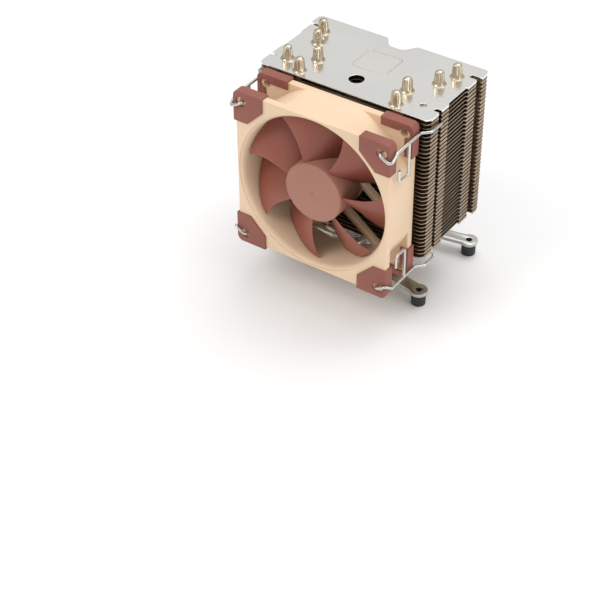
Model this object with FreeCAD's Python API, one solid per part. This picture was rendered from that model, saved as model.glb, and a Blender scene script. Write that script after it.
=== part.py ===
import FreeCAD, Part
import math
import os

# Tower cooler for a computer processor: a nickel-plated fin stack on five U-shaped heat pipes,
# a slim square fan held to the stack by two wire clips, and the spring-screw hardware that
# clamps the cold plate down.
#
# Frame, in millimetres: the origin is the centre of the cold plate's contact face, +Z points up
# away from the processor, +Y is the way the air blows (fan to fins), and +X is to the right
# when the fan is seen from its front.

# ------------------------------------------------------------------ driving dimensions
# fin stack
FIN_WIDTH = 102.0           # across, over the plain front part of a fin
FIN_FRONT_Y = -36.6         # front edge of every fin
FIN_DEPTH = 58.6            # front edge to the rear edge of the side wings
FIN_COUNT = 35              # plain fins, not counting the top one
FIN_PITCH = 2.4
FIN_THICKNESS = 0.45
TOP_FIN_THICKNESS = 0.6
STACK_BOTTOM_Z = 30.0
WING_OVERHANG = 1.2         # how far the rear wings stand out past the plain width
FIN_CORNER_R = 3.0
CLIP_NOTCH_Y = -25.4        # middle of the notch that takes a fan clip
CLIP_NOTCH_WIDTH = 3.2
CLIP_NOTCH_DEPTH = 3.4
SIDE_RECESS = 0.8           # shallow waist between the two side strips
SIDE_STRIP_WIDTH = 7.0
WING_GROOVE_WIDTH = 2.6
WING_GROOVE_DEPTH = 4.6
WING_DEPTH = 8.5            # front to rear of a wing
REAR_CUT_WIDTH = 17.0       # cut-out for the driver on the rear edge
REAR_CUT_DEPTH = 7.0
TAB_WIDTH = 7.0             # folded tabs that set the fins' pitch
TAB_X = 33.0
DRIVER_HOLE_R = 4.1         # hole down through the fins to the front screw
FIN_PIPE_GAP = 0.1          # braze film round each pipe
COLLAR_WALL = 0.7
COLLAR_HEIGHT = 0.9

# heat pipes
PIPE_R = 3.0
PIPE_SPACING = 6.5          # pitch of the pipes inside the base
PIPE_AXIS_Z = 6.4
PIPE_BASE_BEND_R = 7.5
PIPE_LEG_BEND_R = 11.0
PIPE_RISE_Z = 22.5          # height of the corner where a leg turns upright
TIP_HEIGHT = 7.8            # crimped tips above the top fin
TIP_BASE_R = 2.9
TIP_TOP_R = 2.1
TIP_DOME = 0.8
STUB_R = 1.7                # the one end that is crimped short, flush with the top fin
STUB_CONE = 6.0
# one line per pipe, front to rear: leg half-spacing, leg y, and how far past the base it turns
PIPE_LEGS = [
    (29.0, -31.5, 6.5),
    (27.0, -17.5, 6.5),
    (41.0, -25.0, 10.5),
    (37.0, -3.0, 10.5),
    (41.0, 8.0, 10.5),
]
STUB_PIPE = 2               # index of the pipe whose right end is the short one

# base
BASE_WIDTH = 35.0
BASE_DEPTH = 35.0
CAP_TOP_Z = 12.0
CAP_STEP = 1.6              # the cap's shoulders stand this much lower than its middle
CAP_STEP_WIDTH = 8.0
PLATE_LIP = 0.8             # the cold plate is this much larger than the cap, all round
SOLDER_GAP = 0.05

# clamping hardware
SCREW_Y = 22.6              # half the distance between the two captive screws
SCREW_R = 1.5
SCREW_TIP_Z = -0.6
SCREW_HEAD_R = 3.3
SCREW_HEAD_H = 3.4
SCREW_HEAD_Z = 24.0
SCREW_RECESS_R = 1.4
SCREW_LIFT = 4.0            # full travel of a captive screw
RUNNING_GAP = 0.05
BRIDGE_WIDTH = 12.0
BRIDGE_THICKNESS = 3.0
BRIDGE_OVERHANG = 5.6       # bridge past the screw centre
BRIDGE_SCREW_Y = 11.0
BRIDGE_SCREW_R = 1.5
BRIDGE_SCREW_HEAD_R = 2.7
BRIDGE_SCREW_HEAD_H = 1.6
BRIDGE_SCREW_DEPTH = 2.2
SPRING_WIRE_R = 0.45
SPRING_MEAN_R = 2.6
SPRING_TURNS = 5
RING_R = 3.1
RING_THICKNESS = 0.6
RING_GROOVE_DEPTH = 0.35
BAR_HALF_X = 45.0           # board hole pattern, half spacings
BAR_HALF_Y = 27.0
BAR_WIDTH = 8.0
BAR_THICKNESS = 2.0
BAR_TOP_Z = 1.0
BAR_EYE_R = 5.0
BAR_BOSS_WALL = 1.0
BOARD_HOLE_R = 1.7
BUSH_R = 3.6
BUSH_TOP_Z = 6.6
BUSH_FLANGE_R = 4.4
BUSH_FLANGE_H = 1.2
SPACER_R = 4.0
BOARD_Z = -8.0              # face of the board that the spacers stand on

# fan
FAN_SIZE = 92.0
FAN_DEPTH = 25.0
FAN_FRONT_Y = -64.0
FAN_BOTTOM_Z = 21.0
FAN_CORNER_R = 3.0
FAN_HOLE_SPACING = 82.5
FAN_HOLE_R = 2.15
FLANGE_THICKNESS = 4.0
DUCT_R = 43.2
DUCT_LIP = 1.4              # flare of the duct at its front
DUCT_LIP_DEPTH = 3.0
POCKET_R = 49.0             # open corners between the flanges begin at this radius
MOTOR_BASE_R = 16.6
MOTOR_BASE_T = 3.2
STRUT_OFFSET = 11.0         # the four struts run in two parallel pairs
STRUT_WIDTH = 3.6
STRUT_DEPTH = 4.5
STRUT_ANGLE = -37.5
CABLE_NOTCH_WIDTH = 5.0

# corner pads
PAD_FRONT_SPAN = 17.0
PAD_REAR_SPAN = 18.0
PAD_REAR_BAND = 5.0         # the rear pads are angle-shaped bands this wide
PAD_SKIN = 1.0
PAD_CHAMFER = 9.5
PAD_SLOT_R = 2.4
PAD_SLOT_REACH = 1.4
PAD_CORNER_R = 3.2
PAD_GAP = 0.05
PAD_BACK_SKIN = 1.0

# fan motor and impeller, depths measured back from the fan's front face
HUB_R = 17.0
HUB_FRONT = 1.6
HUB_BACK = 19.4
HUB_WALL = 1.4
BLADE_COUNT = 7
BLADE_TIP_GAP = 1.0
BLADE_THICKNESS = 1.3
BLADE_FIRST_ANGLE = 10.0
BLADE_ROOT_FRONT = 3.2
BLADE_ROOT_BACK = 18.8
BLADE_TIP_FRONT = 4.6
BLADE_TIP_BACK = 17.2
BLADE_ROOT_SPAN_DEG = 50.0
BLADE_TIP_SPAN_DEG = 40.0
BLADE_TIP_SWEEP_DEG = 6.0
YOKE_WALL = 0.8
MAGNET_WALL = 1.8
MAGNET_FRONT = 6.0
MAGNET_BACK = 17.8
SHAFT_R = 1.5
SHAFT_BOSS_R = 3.0
SHAFT_BACK = 20.2
SHAFT_CLIP_R = 2.3
SHAFT_CLIP_T = 0.4
SLEEVE_R = 3.0
SLEEVE_FRONT = 7.0
SLEEVE_BACK = 19.0
HOLDER_R = 4.0
STATOR_AIR_GAP = 0.4
STATOR_FRONT = 8.4
STATOR_BACK = 15.6
STATOR_POLES = 4
STATOR_NECK = 3.6
STATOR_SHOE = 1.8
STATOR_HUB_R = 5.6
WINDING_BUILD = 1.1
CIRCUIT_R = 12.6
CIRCUIT_T = 1.2
CIRCUIT_FRONT = 18.6

# fan clips
CLIP_WIRE_R = 0.8
CLIP_GAP = 0.4              # air between a clip and what it passes
CLIP_HOOK_DEPTH = 2.4
CLIP_EDGE_DROP = 4.0        # the front stretch sags this far below the hole
CLIP_ARM_DROP = 4.6         # arm height, down from the fan's top edge
CLIP_LOOP_BACK = 14.6       # finger loop: depth of its two legs and its length
CLIP_LOOP_FRONT = 6.0
CLIP_LOOP_DROP = 18.5
CLIP_LOOP_RETURN = 7.0
CLIP_BEND_R = 1.7

# ------------------------------------------------------------------ places worked out from them
HALF_WIDTH = FIN_WIDTH / 2
STACK_TOP_Z = STACK_BOTTOM_Z + FIN_COUNT * FIN_PITCH
TOP_FACE_Z = STACK_TOP_Z + TOP_FIN_THICKNESS
FIN_REAR_Y = FIN_FRONT_Y + FIN_DEPTH
WING_FRONT_Y = FIN_REAR_Y - WING_DEPTH
PIPE_HOLE_R = PIPE_R + FIN_PIPE_GAP
BRIDGE_TOP_Z = CAP_TOP_Z + BRIDGE_THICKNESS
RING_TOP_Z = CAP_TOP_Z - SCREW_LIFT
BAR_BOTTOM_Z = BAR_TOP_Z - BAR_THICKNESS
FAN_HALF = FAN_SIZE / 2
FAN_BACK_Y = FAN_FRONT_Y + FAN_DEPTH
FAN_MID_Z = FAN_BOTTOM_Z + FAN_HALF
BLADE_TIP_R = DUCT_R - BLADE_TIP_GAP
HUB_INNER_R = HUB_R - HUB_WALL
YOKE_INNER_R = HUB_INNER_R - YOKE_WALL
MAGNET_INNER_R = YOKE_INNER_R - MAGNET_WALL
STATOR_R = MAGNET_INNER_R - STATOR_AIR_GAP
MOTOR_BASE_FRONT = FAN_DEPTH - MOTOR_BASE_T
CLIP_SIDE_X = FAN_HALF + PAD_SKIN + CLIP_GAP + CLIP_WIRE_R
CLIP_FRONT_Y = FAN_FRONT_Y - PAD_SKIN - CLIP_GAP - CLIP_WIRE_R
CLIP_FIN_X = HALF_WIDTH + CLIP_GAP + CLIP_WIRE_R
CLIP_NOTCH_X = HALF_WIDTH - CLIP_NOTCH_DEPTH + CLIP_GAP + CLIP_WIRE_R

X_AXIS = FreeCAD.Vector(1, 0, 0)
Y_AXIS = FreeCAD.Vector(0, 1, 0)
Z_AXIS = FreeCAD.Vector(0, 0, 1)
SIDES = (-1, 1)


# ------------------------------------------------------------------ helpers
def vec(x, y, z):
    return FreeCAD.Vector(x, y, z)


def block(x0, x1, y0, y1, z0, z1):
    return Part.makeBox(x1 - x0, y1 - y0, z1 - z0, vec(x0, y0, z0))


def upright(radius, z0, z1, x=0.0, y=0.0):
    return Part.makeCylinder(radius, z1 - z0, vec(x, y, z0), Z_AXIS)


def upright_cone(radius0, radius1, z0, z1, x=0.0, y=0.0):
    return Part.makeCone(radius0, radius1, z1 - z0, vec(x, y, z0), Z_AXIS)


def along_fan(radius, front, back, x=0.0, z=FAN_MID_Z):
    """Cylinder along the fan's axis, between two depths behind the fan's front face."""
    return Part.makeCylinder(radius, back - front, vec(x, FAN_FRONT_Y + front, z), Y_AXIS)


def fan_ring(outer, inner, front, back):
    return along_fan(outer, front, back).cut(along_fan(inner, front, back))


def polygon_face(points):
    return Part.Face(Part.makePolygon(points + [points[0]]))


def round_upright_edges(shape, radius, chosen):
    """Fillet the straight vertical edges whose middle the function chosen accepts."""
    edges = []
    for edge in shape.Edges:
        a, b = edge.Vertexes[0].Point, edge.Vertexes[-1].Point
        middle = (a + b) * 0.5
        if abs(a.x - b.x) < 1e-6 and abs(a.y - b.y) < 1e-6 and chosen(middle):
            edges.append(edge)
    return shape.makeFillet(radius, edges)


def bent_path(points, radii):
    """Straight runs through the points, joined by tangent arcs of the given radii."""
    edges = []
    start = points[0]
    for i in range(1, len(points) - 1):
        corner = points[i]
        back = (points[i - 1] - corner).normalize()
        ahead = (points[i + 1] - corner).normalize()
        turn = math.pi - back.getAngle(ahead)
        reach = radii[i - 1] * math.tan(turn / 2)
        enter = corner + back * reach
        leave = corner + ahead * reach
        inward = (back + ahead).normalize()
        rise = radii[i - 1] * (1 / math.cos(turn / 2) - 1)
        edges.append(Part.LineSegment(start, enter).toShape())
        edges.append(Part.Arc(enter, corner + inward * rise, leave).toShape())
        start = leave
    edges.append(Part.LineSegment(start, points[-1]).toShape())
    return Part.Wire(edges)


def round_bar(path, radius):
    """A round wire or pipe of the given radius along a smooth path."""
    first = path.OrderedEdges[0]
    start = first.valueAt(first.FirstParameter)
    heading = first.tangentAt(first.FirstParameter)
    profile = Part.Wire([Part.Circle(start, heading, radius).toShape()])
    return path.makePipeShell([profile], True, False)


def mirrored(shape):
    return shape.mirror(vec(0, 0, 0), X_AXIS)


# ------------------------------------------------------------------ heat pipes
def leg_ends():
    """Every upright leg as (x, y, is the short end)."""
    ends = []
    for index, (half, y, _) in enumerate(PIPE_LEGS):
        for side in SIDES:
            ends.append((side * half, y, index == STUB_PIPE and side > 0))
    return ends


def pipe_row_y(index):
    return (index - (len(PIPE_LEGS) - 1) / 2) * PIPE_SPACING


def make_heat_pipe(index):
    half, leg_y, run_out = PIPE_LEGS[index]
    exit_x = BASE_WIDTH / 2 + run_out
    base_y = pipe_row_y(index)
    crown_z = TOP_FACE_Z - TOP_FIN_THICKNESS
    points = [
        vec(-half, leg_y, crown_z),
        vec(-half, leg_y, PIPE_RISE_Z),
        vec(-exit_x, base_y, PIPE_AXIS_Z),
        vec(exit_x, base_y, PIPE_AXIS_Z),
        vec(half, leg_y, PIPE_RISE_Z),
        vec(half, leg_y, crown_z),
    ]
    if index == STUB_PIPE:
        points[-1] = vec(half, leg_y, crown_z - STUB_CONE)
    radii = [PIPE_LEG_BEND_R, PIPE_BASE_BEND_R, PIPE_BASE_BEND_R, PIPE_LEG_BEND_R]
    pipe = round_bar(bent_path(points, radii), PIPE_R)
    for side in SIDES:
        if index == STUB_PIPE and side > 0:
            cone = upright_cone(PIPE_R, STUB_R, crown_z - STUB_CONE, crown_z - 1, half, leg_y)
            neck = upright(STUB_R, crown_z - 1, TOP_FACE_Z - FIN_PIPE_GAP, half, leg_y)
            pipe = pipe.fuse([cone, neck])
        else:
            pipe = pipe.fuse(make_tip(side * half, leg_y, crown_z))
    return pipe.removeSplitter()


def make_tip(x, y, crown_z):
    """Crimped end of a pipe: straight through the collar, a fluted cone, a small flat dome."""
    shoulder = TOP_FACE_Z + COLLAR_HEIGHT
    top = TOP_FACE_Z + TIP_HEIGHT
    straight = upright(PIPE_R, crown_z, shoulder, x, y)
    cone = upright_cone(TIP_BASE_R, TIP_TOP_R, shoulder, top - TIP_DOME, x, y)
    dome = upright_cone(TIP_TOP_R, TIP_TOP_R - TIP_DOME, top - TIP_DOME, top, x, y)
    return straight.fuse([cone, dome])


# ------------------------------------------------------------------ fins
def fin_outline(z):
    """One fin's outline: notches, waist and wings are the same on both sides."""
    notch_a = CLIP_NOTCH_Y - CLIP_NOTCH_WIDTH / 2
    notch_b = CLIP_NOTCH_Y + CLIP_NOTCH_WIDTH / 2
    waist_a = notch_b + SIDE_STRIP_WIDTH
    groove_a = WING_FRONT_Y - WING_GROOVE_WIDTH
    waist_b = groove_a - SIDE_STRIP_WIDTH * 1.3
    waist_x = HALF_WIDTH - SIDE_RECESS
    right = [
        (HALF_WIDTH, FIN_FRONT_Y),
        (HALF_WIDTH, notch_a),
        (HALF_WIDTH - CLIP_NOTCH_DEPTH, notch_a),
        (HALF_WIDTH - CLIP_NOTCH_DEPTH, notch_b),
        (HALF_WIDTH, notch_b),
        (HALF_WIDTH, waist_a),
        (waist_x, waist_a + SIDE_RECESS),
        (waist_x, waist_b - SIDE_RECESS),
        (HALF_WIDTH, waist_b),
        (HALF_WIDTH, groove_a),
        (HALF_WIDTH - WING_GROOVE_DEPTH, groove_a),
        (HALF_WIDTH - WING_GROOVE_DEPTH, WING_FRONT_Y),
        (HALF_WIDTH + WING_OVERHANG, WING_FRONT_Y),
        (HALF_WIDTH + WING_OVERHANG, FIN_REAR_Y),
    ]
    points = [vec(x, y, z) for x, y in right]
    points += [vec(-x, y, z) for x, y in reversed(right)]
    return polygon_face(points)


def fin_plate(z, thickness):
    plate = fin_outline(z).extrude(vec(0, 0, thickness))
    cut_front = FIN_REAR_Y - REAR_CUT_DEPTH
    half = REAR_CUT_WIDTH / 2
    flare = half / 2
    notch = polygon_face([
        vec(-half, FIN_REAR_Y + 1, z),
        vec(-half + flare, cut_front, z),
        vec(half - flare, cut_front, z),
        vec(half, FIN_REAR_Y + 1, z),
    ]).extrude(vec(0, 0, thickness))
    plate = plate.cut(notch)

    def is_corner(point):
        front = abs(point.y - FIN_FRONT_Y) < 0.01
        rear = abs(point.y - FIN_REAR_Y) < 0.01 and abs(point.x) > half + 1
        return front or rear

    return round_upright_edges(plate, FIN_CORNER_R, is_corner)


def fin_holes(z, thickness, stub_r):
    holes = [upright(DRIVER_HOLE_R, z - 1, z + thickness + 1, 0, -SCREW_Y)]
    for x, y, is_stub in leg_ends():
        radius = stub_r if is_stub else PIPE_HOLE_R
        holes.append(upright(radius, z - 1, z + thickness + 1, x, y))
    return holes


def spacing_tabs(z):
    """Tabs folded down from a fin's front and rear edges onto the fin below."""
    tabs = []
    drop = FIN_PITCH - FIN_THICKNESS
    for side in SIDES:
        x = side * TAB_X
        for y in (FIN_FRONT_Y, FIN_REAR_Y - FIN_THICKNESS):
            tabs.append(block(x - TAB_WIDTH / 2, x + TAB_WIDTH / 2, y, y + FIN_THICKNESS, z - drop, z))
    return tabs


def make_cooling_fins():
    fins = []
    first = fin_plate(0, FIN_THICKNESS).cut(fin_holes(0, FIN_THICKNESS, PIPE_HOLE_R))
    tabbed = first.fuse(spacing_tabs(0)).removeSplitter()
    for level in range(FIN_COUNT):
        fin = (first if level == 0 else tabbed).copy()
        fin.translate(vec(0, 0, STACK_BOTTOM_Z + level * FIN_PITCH))
        fins.append(fin)
    return Part.makeCompound(fins)


def make_top_fin():
    fin = fin_plate(STACK_TOP_Z, TOP_FIN_THICKNESS)
    collars = []
    for x, y, is_stub in leg_ends():
        if not is_stub:
            collars.append(upright(PIPE_HOLE_R + COLLAR_WALL, STACK_TOP_Z, TOP_FACE_Z + COLLAR_HEIGHT, x, y))
    fin = fin.fuse(collars)
    fin = fin.cut(fin_holes(STACK_TOP_Z, TOP_FIN_THICKNESS + COLLAR_HEIGHT, STUB_R + FIN_PIPE_GAP))
    fin = fin.fuse(spacing_tabs(STACK_TOP_Z))
    return fin.removeSplitter()


# ------------------------------------------------------------------ base
def pipe_grooves():
    grooves = []
    for index in range(len(PIPE_LEGS)):
        start = vec(-BASE_WIDTH, pipe_row_y(index), PIPE_AXIS_Z)
        grooves.append(Part.makeCylinder(PIPE_R + SOLDER_GAP, 2 * BASE_WIDTH, start, X_AXIS))
    return grooves


def make_cold_plate():
    half_x = BASE_WIDTH / 2
    half_y = BASE_DEPTH / 2
    plate = block(-half_x, half_x, -half_y, half_y, 0, PIPE_AXIS_Z)
    return plate.cut(pipe_grooves()).removeSplitter()


def make_base_cap():
    half_x = BASE_WIDTH / 2 - PLATE_LIP
    half_y = BASE_DEPTH / 2 - PLATE_LIP
    cap = block(-half_x, half_x, -half_y, half_y, PIPE_AXIS_Z, CAP_TOP_Z)
    for side in SIDES:
        inner = side * (half_x - CAP_STEP_WIDTH)
        outer = side * half_x
        cap = cap.cut(block(min(inner, outer), max(inner, outer), -half_y, half_y, CAP_TOP_Z - CAP_STEP, CAP_TOP_Z))
    holes = []
    for side in SIDES:
        depth = CAP_TOP_Z - BRIDGE_SCREW_DEPTH
        holes.append(upright(BRIDGE_SCREW_R + SOLDER_GAP, depth, CAP_TOP_Z, 0, side * BRIDGE_SCREW_Y))
    return cap.cut(pipe_grooves() + holes).removeSplitter()


# ------------------------------------------------------------------ clamping hardware
def make_fastening_bridge():
    reach = SCREW_Y + BRIDGE_OVERHANG
    bridge = block(-BRIDGE_WIDTH / 2, BRIDGE_WIDTH / 2, -reach, reach, CAP_TOP_Z, BRIDGE_TOP_Z)
    bridge = round_upright_edges(bridge, BRIDGE_OVERHANG * 0.9, lambda point: True)
    holes = []
    for side in SIDES:
        holes.append(upright(SCREW_R + FIN_PIPE_GAP * 2, CAP_TOP_Z, BRIDGE_TOP_Z, 0, side * SCREW_Y))
        holes.append(upright(BRIDGE_SCREW_R + SOLDER_GAP, CAP_TOP_Z, BRIDGE_TOP_Z, 0, side * BRIDGE_SCREW_Y))
    return bridge.cut(holes)


def cross_recess(x, y, z, radius, depth):
    """Cross-shaped driver recess opening upwards at height z."""
    slots = []
    width = radius * 0.36
    for dx, dy in ((radius, width), (width, radius)):
        slots.append(block(x - dx, x + dx, y - dy, y + dy, z - depth, z))
    return slots


def make_bridge_screws():
    screws = []
    for side in SIDES:
        y = side * BRIDGE_SCREW_Y
        shank = upright(BRIDGE_SCREW_R, CAP_TOP_Z - BRIDGE_SCREW_DEPTH, BRIDGE_TOP_Z, 0, y)
        top = BRIDGE_TOP_Z + BRIDGE_SCREW_HEAD_H
        head = upright(BRIDGE_SCREW_HEAD_R, BRIDGE_TOP_Z, top, 0, y)
        recess = cross_recess(0, y, top, SCREW_RECESS_R, BRIDGE_SCREW_HEAD_H / 2)
        screws.append(shank.fuse(head).cut(recess).removeSplitter())
    return Part.makeCompound(screws)


def make_captive_screw(side):
    y = side * SCREW_Y
    top = SCREW_HEAD_Z + SCREW_HEAD_H
    shank = upright(SCREW_R, SCREW_TIP_Z, SCREW_HEAD_Z, 0, y)
    head = upright(SCREW_HEAD_R, SCREW_HEAD_Z, top, 0, y)
    groove_top = RING_TOP_Z + RUNNING_GAP
    groove_bottom = RING_TOP_Z - RING_THICKNESS - RUNNING_GAP
    groove = upright(SCREW_R + 1, groove_bottom, groove_top, 0, y)
    groove = groove.cut(upright(SCREW_R - RING_GROOVE_DEPTH, groove_bottom, groove_top, 0, y))
    recess = cross_recess(0, y, top, SCREW_RECESS_R * 1.4, SCREW_HEAD_H * 0.6)
    return shank.fuse(head).cut([groove] + recess).removeSplitter()


def make_retaining_ring(side):
    y = side * SCREW_Y
    bottom = RING_TOP_Z - RING_THICKNESS
    inner = SCREW_R - RING_GROOVE_DEPTH + RUNNING_GAP
    return upright(RING_R, bottom, RING_TOP_Z, 0, y).cut(upright(inner, bottom, RING_TOP_Z, 0, y))


def make_screw_spring(side):
    """Coil spring between the bridge and the screw's head, at its driven-home length."""
    y = side * SCREW_Y
    z0 = BRIDGE_TOP_Z + SPRING_WIRE_R + FIN_PIPE_GAP
    z1 = SCREW_HEAD_Z - SPRING_WIRE_R - FIN_PIPE_GAP
    helix = Part.makeHelix((z1 - z0) / SPRING_TURNS, z1 - z0, SPRING_MEAN_R)
    helix.translate(vec(0, y, z0))
    edge = helix.Edges[0]
    heading = edge.tangentAt(edge.FirstParameter)
    profile = Part.Wire([Part.Circle(edge.valueAt(edge.FirstParameter), heading, SPRING_WIRE_R).toShape()])
    return Part.Wire(helix.Edges).makePipeShell([profile], True, True)


def make_mounting_bar(side):
    """Flat steel bar from one board hole to the next, bowed in to the captive screw."""
    ends = [vec(x * BAR_HALF_X, side * BAR_HALF_Y, BAR_BOTTOM_Z) for x in SIDES]
    middle = vec(0, side * SCREW_Y, BAR_BOTTOM_Z)
    bow = Part.Arc(ends[0], middle, ends[1]).toShape().Curve
    centre = vec(bow.Center.x, bow.Center.y, BAR_BOTTOM_Z)
    radius = bow.Radius
    outer = Part.makeCylinder(radius + BAR_WIDTH / 2, BAR_THICKNESS, centre, Z_AXIS)
    inner = Part.makeCylinder(radius - BAR_WIDTH / 2, BAR_THICKNESS, centre, Z_AXIS)
    near = block(-BAR_HALF_X, BAR_HALF_X, side * SCREW_Y - 3 * BAR_WIDTH, side * SCREW_Y + 3 * BAR_WIDTH,
                 BAR_BOTTOM_Z, BAR_TOP_Z)
    bar = outer.cut(inner).common(near)
    eyes = [upright(BAR_EYE_R, BAR_BOTTOM_Z, BAR_TOP_Z, end.x, end.y) for end in ends]
    holes = [upright(BOARD_HOLE_R, BAR_BOTTOM_Z, BAR_TOP_Z, end.x, end.y) for end in ends]
    holes.append(upright(BUSH_R + SOLDER_GAP, BAR_BOTTOM_Z, BAR_TOP_Z, 0, side * SCREW_Y))
    boss = upright(BUSH_R + BAR_BOSS_WALL, BAR_BOTTOM_Z, BAR_TOP_Z, 0, side * SCREW_Y)
    return bar.fuse(eyes + [boss]).cut(holes).removeSplitter()


def make_bar_bush(side):
    y = side * SCREW_Y
    bush = upright(BUSH_R, BAR_BOTTOM_Z, BUSH_TOP_Z, 0, y)
    bush = bush.fuse(upright(BUSH_FLANGE_R, BAR_TOP_Z, BAR_TOP_Z + BUSH_FLANGE_H, 0, y))
    return bush.cut(upright(SCREW_R + RUNNING_GAP, BAR_BOTTOM_Z, BUSH_TOP_Z, 0, y)).removeSplitter()


def make_board_spacers():
    spacers = []
    for sx in SIDES:
        for sy in SIDES:
            x, y = sx * BAR_HALF_X, sy * BAR_HALF_Y
            tube = upright(SPACER_R, BOARD_Z, BAR_BOTTOM_Z, x, y)
            spacers.append(tube.cut(upright(BOARD_HOLE_R, BOARD_Z, BAR_BOTTOM_Z, x, y)))
    return Part.makeCompound(spacers)


# ------------------------------------------------------------------ fan frame and pads
def fan_corner(sx, sz):
    """Middle of a fan corner hole, as (x, z)."""
    return sx * FAN_HOLE_SPACING / 2, FAN_MID_Z + sz * FAN_HOLE_SPACING / 2


def square_slab(half, front, back, corner_r):
    slab = block(-half, half, FAN_FRONT_Y + front, FAN_FRONT_Y + back, FAN_MID_Z - half, FAN_MID_Z + half)
    edges = []
    for edge in slab.Edges:
        a, b = edge.Vertexes[0].Point, edge.Vertexes[-1].Point
        if abs(a.x - b.x) < 1e-6 and abs(a.z - b.z) < 1e-6:
            edges.append(edge)
    return slab.makeFillet(corner_r, edges)


def fan_block():
    """The square block that the whole moulding is cut from."""
    return square_slab(FAN_HALF, 0, FAN_DEPTH, FAN_CORNER_R)


def make_fan_frame():
    """The duct with its flared lip, out to the radius where the open corners begin."""
    lip = Part.makeCone(DUCT_R + DUCT_LIP, DUCT_R, DUCT_LIP_DEPTH, vec(0, FAN_FRONT_Y, FAN_MID_Z), Y_AXIS)
    notch_z = FAN_MID_Z - FAN_HALF
    cable_notch = block(-CABLE_NOTCH_WIDTH / 2, CABLE_NOTCH_WIDTH / 2, FAN_BACK_Y - FLANGE_THICKNESS, FAN_BACK_Y,
                        notch_z, notch_z + FAN_HALF - DUCT_R + DUCT_LIP)
    body = fan_block().common(along_fan(POCKET_R, 0, FAN_DEPTH))
    return body.cut([along_fan(DUCT_R, 0, FAN_DEPTH), lip, cable_notch]).removeSplitter()


def make_fan_flanges():
    """The eight corner plates of the moulding, four in front and four behind, each with its hole."""
    gap = square_slab(FAN_HALF + 1, FLANGE_THICKNESS, FAN_DEPTH - FLANGE_THICKNESS, FAN_CORNER_R)
    holes = []
    for sx in SIDES:
        for sz in SIDES:
            x, z = fan_corner(sx, sz)
            holes.append(along_fan(FAN_HOLE_R, 0, FAN_DEPTH, x, z))
    return fan_block().cut([along_fan(POCKET_R, 0, FAN_DEPTH), gap] + holes)


def make_fan_motor_mount():
    """Motor base, bearing holder and struts: the middle of the moulding."""
    base = along_fan(MOTOR_BASE_R, MOTOR_BASE_FRONT, FAN_DEPTH)
    holder = along_fan(HOLDER_R, SLEEVE_FRONT, MOTOR_BASE_FRONT)
    rim = fan_ring(CIRCUIT_R, CIRCUIT_R - HUB_WALL, CIRCUIT_FRONT + CIRCUIT_T, MOTOR_BASE_FRONT)
    mount = base.fuse(make_struts() + [holder, rim])
    return mount.cut(along_fan(SLEEVE_R, SLEEVE_FRONT, MOTOR_BASE_FRONT)).removeSplitter()


def make_struts():
    """Four straight arms from the motor base to the duct, in two parallel pairs."""
    struts = []
    front = FAN_DEPTH - STRUT_DEPTH
    limit = along_fan(DUCT_R, 0, FAN_DEPTH).cut(along_fan(MOTOR_BASE_R - 2, 0, FAN_DEPTH))
    for offset in (-STRUT_OFFSET, STRUT_OFFSET):
        bar = block(-FAN_HALF, FAN_HALF, FAN_FRONT_Y + front, FAN_BACK_Y,
                    FAN_MID_Z + offset - STRUT_WIDTH / 2, FAN_MID_Z + offset + STRUT_WIDTH / 2)
        bar.rotate(vec(0, 0, FAN_MID_Z), Y_AXIS, -STRUT_ANGLE)
        struts += bar.common(limit).Solids
    return struts


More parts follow.
